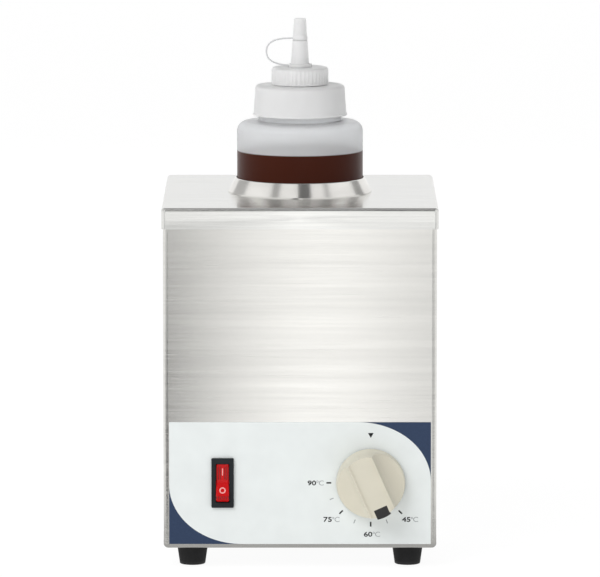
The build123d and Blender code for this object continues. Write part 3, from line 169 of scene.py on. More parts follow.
class Look:
    """A material with one Principled shader, and short calls that feed it from small node graphs."""

    def __init__(self, name, **sockets):
        self.material = bpy.data.materials.new(name)
        self.material.use_nodes = True
        self.tree = self.material.node_tree
        self.shader = self.tree.nodes["Principled BSDF"]
        self.coordinates = self.node("ShaderNodeTexCoord").outputs["Object"]
        for socket, value in sockets.items():
            self.set(socket.replace("_", " ").replace("IOR level", "IOR Level"), value)

    def set(self, socket, value):
        """Sets one of the shader's sockets to a constant, or links it to a node's output."""
        target = self.shader.inputs[socket]
        if isinstance(value, bpy.types.NodeSocket):
            self.tree.links.new(value, target)
        else:
            target.default_value = value

    def node(self, kind, inputs=None, **settings):
        """A node with its settings, and its inputs set to constants or linked to outputs."""
        made = self.tree.nodes.new(kind)
        for name, value in settings.items():
            setattr(made, name, value)
        for key, value in (inputs or {}).items():
            target = made.inputs[key]
            if isinstance(value, bpy.types.NodeSocket):
                self.tree.links.new(value, target)
            else:
                target.default_value = value
        return made

    def noise(self, scale, detail=3.0, rough=0.55, source=None):
        """Noise from 0 to 1, with its features 1 / scale long along each axis."""
        place = self.node("ShaderNodeMapping", {"Vector": source or self.coordinates, "Scale": scale})
        inputs = {"Vector": place.outputs[0], "Scale": 1.0, "Detail": detail, "Roughness": rough}
        return self.node("ShaderNodeTexNoise", inputs).outputs[0]

    def span(self, value, low, high, from_low=0.3, from_high=0.7):
        """A value taken from one range to another, and held at its ends."""
        inputs = {0: value, 1: from_low, 2: from_high, 3: low, 4: high}
        return self.node("ShaderNodeMapRange", inputs).outputs[0]

    def math(self, operation, a, b=0.0):
        """One sum."""
        return self.node("ShaderNodeMath", {0: a, 1: b}, operation=operation).outputs[0]

    def mix(self, share, a, b):
        """A colour between two others."""
        node = self.node("ShaderNodeMix", {"Factor": share}, data_type="RGBA")
        for socket, value in ((node.inputs[6], a), (node.inputs[7], b)):
            if isinstance(value, bpy.types.NodeSocket):
                self.tree.links.new(value, socket)
            else:
                socket.default_value = value
        return node.outputs[2]

    def bump(self, height, distance, strength=1.0, under=None):
        """A normal from a height, with the depth of its full range in metres."""
        inputs = {"Height": height, "Distance": distance, "Strength": strength}
        if under is not None:
            inputs["Normal"] = under
        return self.node("ShaderNodeBump", inputs).outputs[0]

    def height(self):
        """The height above the floor."""
        return self.node("ShaderNodeSeparateXYZ", {0: self.coordinates}).outputs[2]

    def round_z(self, turns):
        """Coordinates round Z: the angle times turns, the radius and the height."""
        parts = self.node("ShaderNodeSeparateXYZ", {0: self.coordinates}).outputs
        angle = self.math("MULTIPLY", self.math("ARCTAN2", parts[1], parts[0]), turns)
        squares = [self.math("MULTIPLY", part, part) for part in (parts[0], parts[1])]
        radius = self.math("SQRT", self.math("ADD", *squares))
        return self.node("ShaderNodeCombineXYZ", {0: angle, 1: radius, 2: parts[2]}).outputs[0]


def brushed(name, colour, rough, lines, bands, axis="Z", grain=0.000004, anisotropic=0.6):
    """Brushed sheet: fine scratches over broad soft bands, both drawn out along the brushing."""
    look = Look(name, Metallic=1.0, Anisotropic=anisotropic, Anisotropic_Rotation=0.25)
    fine = look.noise(lines, 4.0, 0.7)
    broad = look.noise(bands, 2.0, 0.5)
    both = look.math("ADD", look.math("MULTIPLY", fine, 0.6), look.math("MULTIPLY", broad, 0.4))
    look.set("Base Color", look.mix(look.span(both, 0, 1, 0.35, 0.65), shade(colour, 0.9), shade(colour, 1.04)))
    look.set("Roughness", look.span(fine, rough - 0.07, rough + 0.08))
    look.set("Normal", look.bump(fine, grain))
    look.set("Tangent", look.node("ShaderNodeTangent", direction_type="RADIAL", axis=axis).outputs[0])
    return look.material


def turned(name, colour, rough, anisotropic=0.75):
    """Turned or polished steel with its fine scratches running round Z."""
    look = Look(name, Metallic=1.0, Anisotropic=anisotropic, Anisotropic_Rotation=0.25)
    fine = look.noise((2.0, 3500, 3500), 3.0, 0.6, look.round_z(1.0))
    broad = look.noise((1.2, 90, 90), 2.0, 0.5, look.round_z(1.0))
    look.set("Base Color", look.mix(look.span(broad, 0, 1), shade(colour, 0.93), shade(colour, 1.03)))
    look.set("Roughness", look.span(fine, rough - 0.05, rough + 0.06))
    look.set("Normal", look.bump(fine, 0.000002))
    look.set("Tangent", look.node("ShaderNodeTangent", direction_type="RADIAL", axis="Z").outputs[0])
    return look.material


def plated(name, colour, rough, size=900):
    """Plated or drawn small metal parts, a little cloudy."""
    look = Look(name, Metallic=1.0)
    cloud = look.noise((size,) * 3, 4.0, 0.6)
    look.set("Base Color", look.mix(look.span(cloud, 0, 1), shade(colour, 0.82), shade(colour, 1.05)))
    look.set("Roughness", look.span(cloud, rough - 0.06, rough + 0.1))
    look.set("Normal", look.bump(cloud, 0.000008))
    return look.material


def moulded(name, colour, rough, grain=0.000012, size=2600, depth=0.93, **sockets):
    """Moulded plastic: a fine spark-eroded grain with a faint broad change of colour."""
    look = Look(name, **sockets)
    fine = look.noise((size,) * 3, 3.0, 0.6)
    broad = look.noise((60,) * 3, 2.0, 0.5)
    look.set("Base Color", look.mix(look.span(broad, 0, 1), shade(colour, depth), shade(colour, 1.03)))
    look.set("Roughness", look.span(fine, rough - 0.05, rough + 0.06))
    look.set("Normal", look.bump(fine, grain))
    return look.material


def rubber(name, colour, rough=0.62):
    """Moulded rubber with a dusty, slightly uneven skin."""
    look = Look(name, Specular_IOR_level=0.35)
    fine = look.noise((1800,) * 3, 4.0, 0.7)
    dust = look.noise((220,) * 3, 3.0, 0.6)
    look.set("Base Color", look.mix(look.span(dust, 0, 1), colour, shade(colour, 1.7)))
    look.set("Roughness", look.span(fine, rough - 0.08, rough + 0.1))
    look.set("Normal", look.bump(fine, 0.00003))
    return look.material


def milky(name, colour, rough, clear, wet_below=None, wet=None):
    """Translucent polyethylene, faintly rippled by its mould. Sauce wets and darkens it below a level."""
    look = Look(name, IOR=1.2, Transmission_Weight=clear)
    ripple = look.noise((70, 70, 28), 2.0, 0.5)
    fine = look.noise((1500,) * 3, 2.0, 0.5)
    tint = look.mix(look.span(ripple, 0, 1), shade(colour, 0.97), shade(colour, 1.02))
    look.set("Roughness", look.span(fine, rough - 0.05, rough + 0.05))
    look.set("Normal", look.bump(fine, 0.000006, 1.0, look.bump(ripple, 0.0002)))
    if wet_below is not None:
        under = look.span(look.height(), 1.0, 0.0, wet_below - 0.0003, wet_below + 0.0003)
        tint = look.mix(under, tint, wet)
        look.set("Transmission Weight", look.span(under, clear, 0.25, 0.0, 1.0))
    look.set("Base Color", tint)
    return look.material


def woven(name, colour, pitch, depth=0.00012, rough=0.8):
    """Woven or fibrous cloth: threads crossing at a pitch, over loose fibre noise."""
    look = Look(name, Sheen_Weight=0.25, Sheen_Roughness=0.5)
    parts = look.node("ShaderNodeSeparateXYZ", {0: look.round_z(0.045)}).outputs
    warp = look.math("SINE", look.math("MULTIPLY", parts[0], TURN / pitch))
    weft = look.math("SINE", look.math("MULTIPLY", parts[2], TURN / pitch))
    cross = look.math("MULTIPLY", warp, weft)
    fibre = look.noise((900,) * 3, 4.0, 0.7)
    height = look.math("ADD", look.math("MULTIPLY", cross, 0.35), fibre)
    look.set("Base Color", look.mix(look.span(height, 0, 1, 0.2, 0.9), shade(colour, 0.7), colour))
    look.set("Roughness", rough)
    look.set("Normal", look.bump(height, depth))
    return look.material


def ink(name, colour, rough=0.42):
    """Screen print: its colour broken faintly by the film's grain."""
    look = Look(name, Specular_IOR_level=0.2)
    speckle = look.noise((1400,) * 3, 3.0, 0.6)
    look.set("Base Color", look.mix(look.span(speckle, 0, 1), shade(colour, 0.9), shade(colour, 1.08)))
    look.set("Roughness", look.span(speckle, rough - 0.04, rough + 0.06))
    look.set("Normal", look.bump(speckle, 0.000004))
    return look.material


def sauce_look(name):
    """Melted chocolate: dark, glossy, with slow swirls and a redder edge where it is thin."""
    look = Look(name, Subsurface_Weight=0.12, Subsurface_Scale=0.003, Coat_Weight=0.3)
    swirl = look.noise((45, 45, 90), 3.0, 0.6)
    look.set("Base Color", look.mix(look.span(swirl, 0, 1), srgb(46, 24, 16), srgb(74, 40, 26)))
    look.set("Roughness", look.span(swirl, 0.25, 0.4))
    look.set("Normal", look.bump(swirl, 0.0003))
    return look.material


def striped(name, base, stripe, pitch=0.02):
    """Wire insulation with a stripe wound along it."""
    look = Look(name)
    parts = look.node("ShaderNodeSeparateXYZ", {0: look.coordinates}).outputs
    along = look.math("ADD", look.math("ADD", parts[0], parts[1]), parts[2])
    wave = look.math("SINE", look.math("MULTIPLY", along, TURN / pitch))
    fine = look.noise((2200,) * 3, 2.0, 0.5)
    look.set("Base Color", look.mix(look.span(wave, 0, 1, 0.2, 0.3), base, stripe))
    look.set("Roughness", look.span(fine, 0.36, 0.5))
    look.set("Normal", look.bump(fine, 0.000008))
    return look.material


STEEL = srgb(224, 223, 219)
SAUCE_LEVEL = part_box("sauce")[1].z
FINISH = {
    "stainless_brushed": brushed("brushed_steel", STEEL, 0.2, (14, 14, 1500), (5, 5, 240), anisotropic=0.8),
    "stainless_lid": brushed("satin_steel", srgb(228, 228, 225), 0.17, (16, 1700, 1700), (5, 260, 260), axis="Y"),
    "stainless_turned": turned("turned_steel", srgb(232, 230, 226), 0.2),
    "stainless_inner": turned("drawn_steel", srgb(205, 204, 200), 0.33, 0.4),
    "fastener_steel": plated("zinc_plate", srgb(206, 207, 205), 0.26),
    "gasket": rubber("gasket_silicone", srgb(96, 92, 88)),
    "heater": woven("heater_silicone", srgb(176, 74, 38), 0.0011, 0.00006, 0.6),
    "sensor_copper": plated("copper_tube", srgb(196, 122, 82), 0.3),
    "insulation": woven("glass_wool", srgb(214, 206, 184), 0.0026, 0.0005, 0.95),
    "cutout": plated("cutout_aluminium", srgb(196, 198, 200), 0.38),
    "tab_brass": plated("tinned_brass", srgb(208, 184, 118), 0.3),
    "foot_rubber": rubber("foot_rubber", srgb(20, 20, 21)),
    "gland_nylon": moulded("gland_nylon", srgb(44, 45, 46), 0.48),
    "gland_seal": rubber("seal_rubber", srgb(26, 26, 26)),
    "block": moulded("terminal_nylon", srgb(224, 222, 212), 0.45, Subsurface_Weight=0.2, Subsurface_Scale=0.002),
    "label": moulded("label_vinyl", srgb(236, 241, 240), 0.4, 0.000006, 1800, 0.985),
    "switch_black": moulded("switch_black", srgb(38, 42, 45), 0.42, 0.00001, Specular_IOR_level=0.15),
    "switch_red": moulded("switch_red", srgb(206, 16, 20), 0.26, 0.000004, 2600, 0.9, Specular_IOR_level=0.2,
                          Emission_Color=srgb(255, 24, 18), Emission_Strength=0.02),
    "thermostat_white": moulded("thermostat_ceramic", srgb(226, 222, 210), 0.6, 0.00002),
    "shaft_steel": plated("shaft_steel", srgb(196, 196, 194), 0.24),
    "knob_beige": moulded("knob_beige", srgb(219, 214, 196), 0.38, 0.000014, 2400, 0.97),
    "pointer_black": moulded("pointer_black", srgb(34, 33, 33), 0.4),
    "bottle_clear": milky("bottle_polyethylene", srgb(250, 251, 252), 0.34, 0.72, SAUCE_LEVEL, srgb(78, 32, 16)),
    "cap_clear": milky("cap_polyethylene", srgb(252, 252, 252), 0.36, 0.3),
    "seal_foam": moulded("seal_foam", srgb(240, 240, 236), 0.8, 0.00008, 1200),
    "sauce": sauce_look("chocolate"),
    "wire_brown": moulded("wire_brown", srgb(104, 66, 44), 0.42),
    "wire_blue": moulded("wire_blue", srgb(44, 88, 164), 0.42),
    "wire_green": striped("wire_green_yellow", srgb(52, 132, 60), srgb(226, 206, 54)),
}
STRAP_MILKY = milky("strap_polyethylene", srgb(226, 227, 228), 0.45, 0.12)
# The rocker's ridges take a darker copy of the switch red: painted shade of the grooves between the ribs.
RIDGE_PAINTED_SHADE_RED = moulded("ridge_red_painted_shade", srgb(140, 12, 15), 0.3, 0.000004, 2600, 0.9)
INK_BLACK = ink("ink_black", srgb(34, 34, 36))
INK_GREY = ink("ink_grey", srgb(166, 170, 172))
INK_NAVY = ink("ink_navy", srgb(50, 66, 94))
MARK_WHITE = ink("mark_white", srgb(255, 176, 172), 0.3)

for row in frame["record"]["subparts"]:
    node = frame["nodes"][row["node"]]
    node.data.materials.clear()
    node.data.materials.append(FINISH[row["material_slot"]])


def settle(piece, body, slot, *replaced, material=None):
    """Gives a piece its material, from its slot unless one is given, puts it on its body and hides the CAD nodes
    that it stands for.
    """
    piece.data.materials.clear()
    piece.data.materials.append(material or FINISH[slot])
    if body:
        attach(piece, body)
    if replaced:
        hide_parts(*replaced)
    return piece


# ---------------------------------------------------------------- bottle
WALL = 1.2 * MM
HEEL_R = 7 * MM
LIP_W = 0.6 * MM
CAP_DRAFT = 1.2 * MM
CAP_TOP_T = 1.8 * MM
SPIGOT_WALL = 2.2 * MM
SHOULDER_R = 6.2 * MM
SHOULDER_RISE = 0.3 * MM
NECK_H = 21.2 * MM
NECK_WALL = 2.0 * MM
NECK_FILLET = 1.0 * MM
CAP_PITCH = 4.0 * MM
NOZZLE_PITCH = 3.0 * MM
THREAD_GAP = 0.8 * MM
THREAD_DEPTH = 0.55 * MM


def make_bottle():
    """The bottle: base ring, straight wall with its mould's parting line, shoulder and threaded neck."""
    low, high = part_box("bottle_body")
    cap_low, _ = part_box("bottle_cap")
    radius = high.x
    heel = HEEL_R
    neck_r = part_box("cap_seal")[1].x
    neck_z = high.z - NECK_H
    shoulder_z = neck_z - SHOULDER_R - SHOULDER_RISE
    bore = neck_r - NECK_WALL
    outer = [(0, low.z + 0.5 * MM), (radius * 0.55, low.z + 0.5 * MM), (radius * 0.66, low.z)]
    outer += arc(radius - heel, low.z + heel, heel, -90, 0, 10)
    outer += run((radius, low.z + heel + 1 * MM), (radius, shoulder_z - 1 * MM), 40)
    outer += arc(radius - SHOULDER_R, shoulder_z, SHOULDER_R, 0, 90, 14)
    outer += arc(neck_r + NECK_FILLET, neck_z + NECK_FILLET, NECK_FILLET, 270, 180, 6)
    outer += run((neck_r, cap_low.z), (neck_r, high.z - 0.8 * MM), 60)
    outer += arc(neck_r - 0.6 * MM, high.z - 0.6 * MM, 0.6 * MM, 0, 90, 4)
    inner = [(bore, high.z), (bore, neck_z)]
    inner += arc(radius - SHOULDER_R, shoulder_z, SHOULDER_R - WALL, 90, 0, 12)
    inner += [(radius - WALL, low.z + heel)]
    inner += arc(radius - heel, low.z + heel, heel - WALL, 0, -90, 8)
    inner += [(0, low.z + WALL)]
    neck_thread = thread(CAP_PITCH, THREAD_DEPTH, cap_low.z + 3.2 * MM, high.z - 1.2 * MM)

    def relief(angle, r, z):
        if z > neck_z and r > neck_r - 0.1 * MM:
            return neck_thread(angle, z)
        if r < radius - 0.1 * MM:
            return 0.0
        across = math.sin(angle) * radius
        return 0.12 * MM * math.exp(-((across / (0.35 * MM)) ** 2))

    piece = lathe("bottle_shell", outer + inner, 384, relief)
    settle(piece, "bottle", "bottle_clear", "bottle_body")


def make_sauce():
    """The sauce, filling the bottle up to its level, with a skin that curves up where it meets the wall."""
    low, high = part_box("sauce")
    radius = high.x
    heel = HEEL_R - WALL
    rise = 0.9 * MM
    profile = [(0, low.z)]
    profile += arc(radius - heel, low.z + heel, heel, -90, 0, 8)
    profile += [(radius, high.z)]
    profile += arc(radius - 2 * MM, high.z + rise, 2 * MM, -8, -88, 6)[1:]
    profile = [(r, min(z, high.z)) for r, z in profile]
    profile += [(radius * 0.5, high.z - 1.2 * MM), (0, high.z - 1.2 * MM)]
    settle(lathe("sauce_fill", profile, 128), "bottle", "sauce", "sauce")


def make_cap():
    """The large screw cap: a rounded edge, a drafted wall, a flange lip and the spigot for the nozzle."""
    low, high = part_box("bottle_cap")
    seal_low, seal_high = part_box("cap_seal")
    spigot_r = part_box("nozzle_seal")[1].x
    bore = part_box("cap_seal")[1].x + THREAD_GAP
    lip_r = high.x
    wall_r = lip_r - LIP_W
    top_r = wall_r - CAP_DRAFT
    top_z = seal_high.z + CAP_TOP_T
    edge = 2.2 * MM
    lip_h = 1.2 * MM
    profile = [(bore, low.z)]
    profile += arc(lip_r - 0.4 * MM, low.z + 0.4 * MM, 0.4 * MM, -90, 0, 4)
    profile += arc(lip_r - 0.4 * MM, low.z + lip_h - 0.4 * MM, 0.4 * MM, 0, 90, 4)
    profile += run((wall_r, low.z + lip_h), (top_r + 0.1 * MM, top_z - edge), 6)
    profile += arc(top_r - edge + 0.1 * MM, top_z - edge, edge, 0, 90, 10)
    profile += arc(spigot_r + 0.6 * MM, top_z + 0.6 * MM, 0.6 * MM, 270, 180, 4)
    profile += run((spigot_r, top_z + 1 * MM), (spigot_r, high.z - 0.5 * MM), 34)
    profile += arc(spigot_r - 0.5 * MM, high.z - 0.5 * MM, 0.5 * MM, 0, 90, 3)
    profile += [(spigot_r - SPIGOT_WALL, high.z), (spigot_r - SPIGOT_WALL, seal_high.z), (bore, seal_high.z)]
    profile += run((bore, seal_high.z - 0.4 * MM), (bore, low.z + 0.6 * MM), 60)
    outside = thread(NOZZLE_PITCH, 0.5 * MM, top_z + 1.8 * MM, high.z - 0.6 * MM)
    inside = thread(CAP_PITCH, THREAD_DEPTH, low.z + 1.2 * MM, seal_low.z - 0.8 * MM)

    def relief(angle, r, z):
        if abs(r - spigot_r) < 0.05 * MM and z > top_z + 0.8 * MM:
            return outside(angle, z)
        if abs(r - bore) < 0.05 * MM and z < seal_low.z:
            return -inside(angle, z)
        return 0.0

    piece = lathe("screw_cap", profile, 288, relief)
    settle(piece, "cap", "cap_clear", "bottle_cap")


def make_nozzle():
    """The nozzle cap with its grip ribs, and the spout that runs up from it."""
    low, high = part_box("nozzle_cap")
    tip_low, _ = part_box("tip_closure")
    _, seal_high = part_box("nozzle_seal")
    ring_low, ring_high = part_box("tether_ring")
    radius = high.x
    bore = seal_high.x + THREAD_GAP
    top_z = ring_low.z
    under_z = seal_high.z
    edge = 2.0 * MM
    foot_r = 6.2 * MM
    step_z = tip_low.z - 0.3 * MM
    ribs = 44
    profile = [(bore, under_z), (bore, low.z), (radius - 0.3 * MM, low.z)]
    profile += run((radius, low.z + 0.3 * MM), (radius, top_z - edge), 12)
    profile += arc(radius - edge, top_z - edge, edge, 0, 90, 10)
    profile += [(foot_r, top_z), (foot_r - 0.02 * MM, ring_high.z)]
    profile += run((5.96 * MM, ring_high.z + 0.6 * MM), (5.0 * MM, step_z - 0.3 * MM), 12)
    profile += [(4.8 * MM, step_z), (3.7 * MM, step_z), (2.4 * MM, high.z - 0.2 * MM), (2.2 * MM, high.z)]
    profile += [(1.4 * MM, high.z), (5.0 * MM, under_z)]

    def relief(angle, r, z):
        if r > radius - edge and z > low.z:
            share = fade(z, low.z + 0.2 * MM, top_z - 0.6 * MM, 1.6 * MM)
            return -0.32 * MM * share * (0.5 - 0.5 * math.cos(ribs * angle)) ** 0.6
        if ring_high.z < z < step_z and r > 4.9 * MM:
            return -0.06 * MM * (0.5 - 0.5 * math.cos(12 * angle))
        return 0.0

    piece = lathe("nozzle_spout", profile, 528, relief)
    settle(piece, "nozzle", "cap_clear", "nozzle_cap")

    ring_r = -(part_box("tether_ring")[0].x) - 0.6 * MM
    bead = 0.5 * MM
    profile = arc(ring_r - bead, ring_low.z + bead, bead, -90, 0, 4)
    profile += arc(ring_r - bead, ring_high.z - bead, bead, 0, 90, 4)
    profile += [(6.5 * MM, ring_high.z), (6.5 * MM, ring_low.z)]
    ring = lathe("tether_collar", profile, 128)
    settle(ring, "nozzle", "cap_clear", "tether_ring")


def make_tip():
    """The tip closure: a hollow drafted cap with a bead round its mouth."""
    low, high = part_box("tip_closure")
    rim = -low.x - 0.6 * MM
    top_r = 4.05 * MM
    edge = 0.7 * MM
    bead_h = 2.2 * MM
    slope = (rim - 0.25 * MM - top_r) / (high.z - low.z - edge)
    shoulder_z = low.z + bead_h
    profile = [(4.0 * MM, low.z)]
    profile += arc(rim - 0.3 * MM, low.z + 0.3 * MM, 0.3 * MM, -90, 0, 3)
    profile += [(rim - 0.02 * MM, shoulder_z - 0.3 * MM), (rim - 0.25 * MM, shoulder_z)]
    foot = (top_r + slope * (high.z - shoulder_z - 1 * MM), shoulder_z + 0.6 * MM)
    profile += run(foot, (top_r, high.z - edge), 10)
    profile += arc(top_r - edge, high.z - edge, edge, 10, 90, 6)
    profile += [(top_r * 0.55, high.z), (top_r * 0.5, high.z - 0.25 * MM), (0, high.z - 0.25 * MM)]
    profile += [(0, high.z - 1.6 * MM), (2.7 * MM, high.z - 1.6 * MM)]

    def relief(angle, r, z):
        if r > top_r - 0.1 * MM and z > shoulder_z:
            return -0.07 * MM * (0.5 - 0.5 * math.cos(16 * angle))
        return 0.0

    piece = lathe("tip_cap", profile, 192, relief)
    settle(piece, "tip", "cap_clear", "tip_closure")


def bezier(points, t):
    """A point of a cubic curve in the plane of the strap."""
    a, b, c, d = points
    s = 1 - t
    return tuple(
        s**3 * a[k] + 3 * s * s * t * b[k] + 3 * s * t * t * c[k] + t**3 * d[k] for k in range(2)
    )


def make_strap():
    """The moulded strap from the tip to the ring: a D-shaped loop of a rounded flat section."""
    low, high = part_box("tether_strap")
    ring_low, ring_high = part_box("tether_ring")
    width = (high.y - low.y) / 2
    half = 0.52 * MM
    top = (-4.7 * MM, high.z - 0.55 * MM)
    bottom = (-7.6 * MM, (ring_low.z + ring_high.z) / 2)
    left = (low.x + half, (top[1] + bottom[1]) / 2 + 0.4 * MM)
    upper = (top, (top[0] - 9.5 * MM, top[1] + 0.2 * MM), (left[0], left[1] + 7.2 * MM), left)
    lower = (left, (left[0], left[1] - 6.0 * MM), (bottom[0] - 10.5 * MM, bottom[1] + 0.9 * MM), bottom)
    steps = 30
    line = [bezier(upper, k / steps) for k in range(steps)] + [bezier(lower, k / steps) for k in range(steps + 1)]
    sides = 16
    mesh = bmesh.new()
    rings = []
    for k, (x, z) in enumerate(line):
        before, after = line[max(k - 1, 0)], line[min(k + 1, len(line) - 1)]
        along = Vector((after[0] - before[0], 0, after[1] - before[1])).normalized()
        out = Vector((along.z, 0, -along.x))
        ring = []
        for j in range(sides):
            angle = TURN * j / sides
            round_y = math.copysign(abs(math.cos(angle)) ** 0.6, math.cos(angle)) * width * 0.98
            round_n = math.copysign(abs(math.sin(angle)) ** 0.8, math.sin(angle)) * half
            ring.append(mesh.verts.new(Vector((x, round_y, z)) + out * round_n))
        rings.append(ring)
    for lower_ring, upper_ring in zip(rings, rings[1:]):
        for j in range(sides):
            after = (j + 1) % sides
            mesh.faces.new((lower_ring[j], lower_ring[after], upper_ring[after], upper_ring[j]))
    mesh.faces.new(rings[0])
    mesh.faces.new(rings[-1][::-1])
    piece = add_object("tether_loop", mesh)
    settle(piece, None, "cap_clear", "tether_strap", material=STRAP_MILKY)
    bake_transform(piece)


# ---------------------------------------------------------------- front panel
def text_mesh(name, words):
    """Flat text as a mesh in X and Z, its box from 0 to 1 both ways."""
    curve = bpy.data.curves.new(name, "FONT")
    curve.body = words
    curve.resolution_u = 6
    curve.extrude = 0.5
    holder = bpy.data.objects.new(name, curve)
    bpy.context.scene.collection.objects.link(holder)
    bpy.context.view_layer.update()
    data = bpy.data.meshes.new_from_object(holder.evaluated_get(bpy.context.evaluated_depsgraph_get()))
    bpy.data.objects.remove(holder)
    xs = [v.co.x for v in data.vertices]
    ys = [v.co.y for v in data.vertices]
    for v in data.vertices:
        across = (v.co.x - min(xs)) / (max(xs) - min(xs))
        up = (v.co.y - min(ys)) / (max(ys) - min(ys))
        v.co = (across, -v.co.z, up)
    return data


def print_text(name, words, left, middle, width, height, material, bold=0.0):
    """Printed words on the label, from their left edge and the height of their middle. Bold ones are printed over
    with small shifts, each a little thinner than the one before."""
    prints = []
    for k, (across, up) in enumerate(((0, 0), (-1, 0), (1, 0), (0, -1), (0, 1))[: 5 if bold else 1]):
        data = text_mesh(name, words)
        thick = PRINT_T * (1 - 0.1 * k)
        size = Matrix.Diagonal((width - 2 * bold, thick, height - 2 * bold, 1))
        place = (left + bold + across * bold, PRINT_Y - thick / 2, middle - height / 2 + bold + up * bold)
        data.transform(Matrix.Translation(place) @ size)
        copy = bpy.data.objects.new(name, data)
        bpy.context.scene.collection.objects.link(copy)
        prints.append(copy)
    return settle(join(name, prints), "housing", "label", material=material)


label_low, label_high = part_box("control_label")
knob_joint = next(joint for joint in frame["joints"] if joint["name"] == "knob_turn")
DIAL = Vector(knob_joint["pos_m"])
PRINT_T = 0.04 * MM
TICK_TURN = 22.5  # degrees from one tick to the next
TICK_START = 135  # degrees clockwise from the triangle to the first tick
RIDGE_W = 0.62 * MM
RIDGE_H = 0.3 * MM
PRINT_Y = label_low.y
FIELD_RX = 48.0 * MM
FIELD_RZ = 39.5 * MM


def make_corners():
    """The label's two dark corners, each cut by a quarter ellipse of the white field."""
    steps = 48
    for name, side in (("corner_print_right", 1), ("corner_print_left", -1)):
        edge_x = label_high.x * side
        edge_z = label_high.z if side > 0 else label_low.z
        swing = [math.radians(90 * k / steps) for k in range(steps + 1)]
        across, up = side * FIELD_RX, side * FIELD_RZ
        outline = [(edge_x + across * (math.cos(a) - 1), edge_z + up * (math.sin(a) - 1)) for a in swing]
        outline += [(edge_x, edge_z)]
        piece = slab(name, outline, PRINT_Y, PRINT_T)
        settle(piece, "housing", "label", material=INK_NAVY)


def make_dial():
    """The dial's print: ticks, every other one black with its temperature, and a triangle for off."""
    inner, outer = 26.0 * MM, 29.2 * MM
    for step in range(7):
        major = step % 2 == 0
        angle = math.radians(TICK_START + TICK_TURN * step)
        along = Vector((math.sin(angle), math.cos(angle)))
        across = Vector((along.y, -along.x)) * (0.5 if major else 0.32) * MM
        middle = Vector((DIAL.x, DIAL.z))
        near, far = middle + along * (inner + (0 if major else 0.5 * MM)), middle + along * outer
        outline = [near - across, near + across, far + across, far - across]
        piece = slab(f"dial_tick_{step}", [tuple(p) for p in outline], PRINT_Y, PRINT_T)
        settle(piece, "housing", "label", material=INK_BLACK if major else INK_GREY)
    half, drop, top = 1.85 * MM, 3.3 * MM, DIAL.z + 33.2 * MM
    triangle = [(DIAL.x - half, top), (DIAL.x + half, top), (DIAL.x, top - drop)]
    settle(slab("dial_triangle", triangle, PRINT_Y, PRINT_T), "housing", "label", material=INK_BLACK)
    height = 3.3 * MM
    places = {"45": (20.6, -24.4), "60": (-4.5, -34.3), "75": (-31.2, -24.4), "90": (-41.6, -0.1)}
    for degrees, (left, up) in places.items():
        x, z = DIAL.x + left * MM, DIAL.z + up * MM
        print_text(f"dial_number_{degrees}", degrees, x, z, 5.6 * MM, height, INK_BLACK, 0.13 * MM)
        ring_x = x + 6.5 * MM
        ring = [math.radians(360 * k / 20) for k in range(20)]
        outer_r, inner_r = 0.72 * MM, 0.4 * MM
        mesh = bmesh.new()
        loops = []
        for radius in (outer_r, inner_r):
            for y in (PRINT_Y - PRINT_T, PRINT_Y):
                middle_z = z + height / 2 - outer_r
                points = [(ring_x + radius * math.cos(a), y, middle_z + radius * math.sin(a)) for a in ring]
                loops.append([mesh.verts.new(p) for p in points])
        for first, second in ((0, 1), (1, 3), (3, 2), (2, 0)):
            for k in range(20):
                after = (k + 1) % 20
                mesh.faces.new((loops[first][k], loops[first][after], loops[second][after], loops[second][k]))
        settle(add_object(f"dial_degree_{degrees}", mesh), "housing", "label", material=INK_GREY)
        print_text(f"dial_unit_{degrees}", "C", ring_x + 0.9 * MM, z, 3.3 * MM, height, INK_GREY)


def face_point(node, x, z):
    """The point and normal of a node's front face at x and z."""
    hit, place, normal, _ = node.ray_cast(Vector((x, -1, z)), Vector((0, 1, 0)))
    if not hit:
        raise ValueError(f"{node.name} has no front face at {x}, {z}")
    return place, normal


def lie_on(mesh, place, normal):
    """Moves a bmesh made in X and Z, its front to -Y, onto a point of a face."""
    back = -normal
    side = back.cross(Vector((0, 0, 1))).normalized()
    up = side.cross(back)
    turn = Matrix((side, back, up)).transposed().to_4x4()
    mesh.transform(Matrix.Translation(place) @ turn)


def ridge(length, width, height):
    """A bmesh of a small rounded ridge along Z, standing towards -Y."""
    mesh = bmesh.new()
    sides = 7
    ends = []
    for z in (-length / 2, length / 2):
        arch = [math.pi * k / (sides - 1) for k in range(sides)]
        ends.append([mesh.verts.new((width / 2 * math.cos(a), -height * math.sin(a), z)) for a in arch])
    for k in range(sides):
        after = (k + 1) % sides
        mesh.faces.new((ends[0][k], ends[0][after], ends[1][after], ends[1][k]))
    mesh.faces.new(ends[0])
    mesh.faces.new(ends[1][::-1])
    return mesh


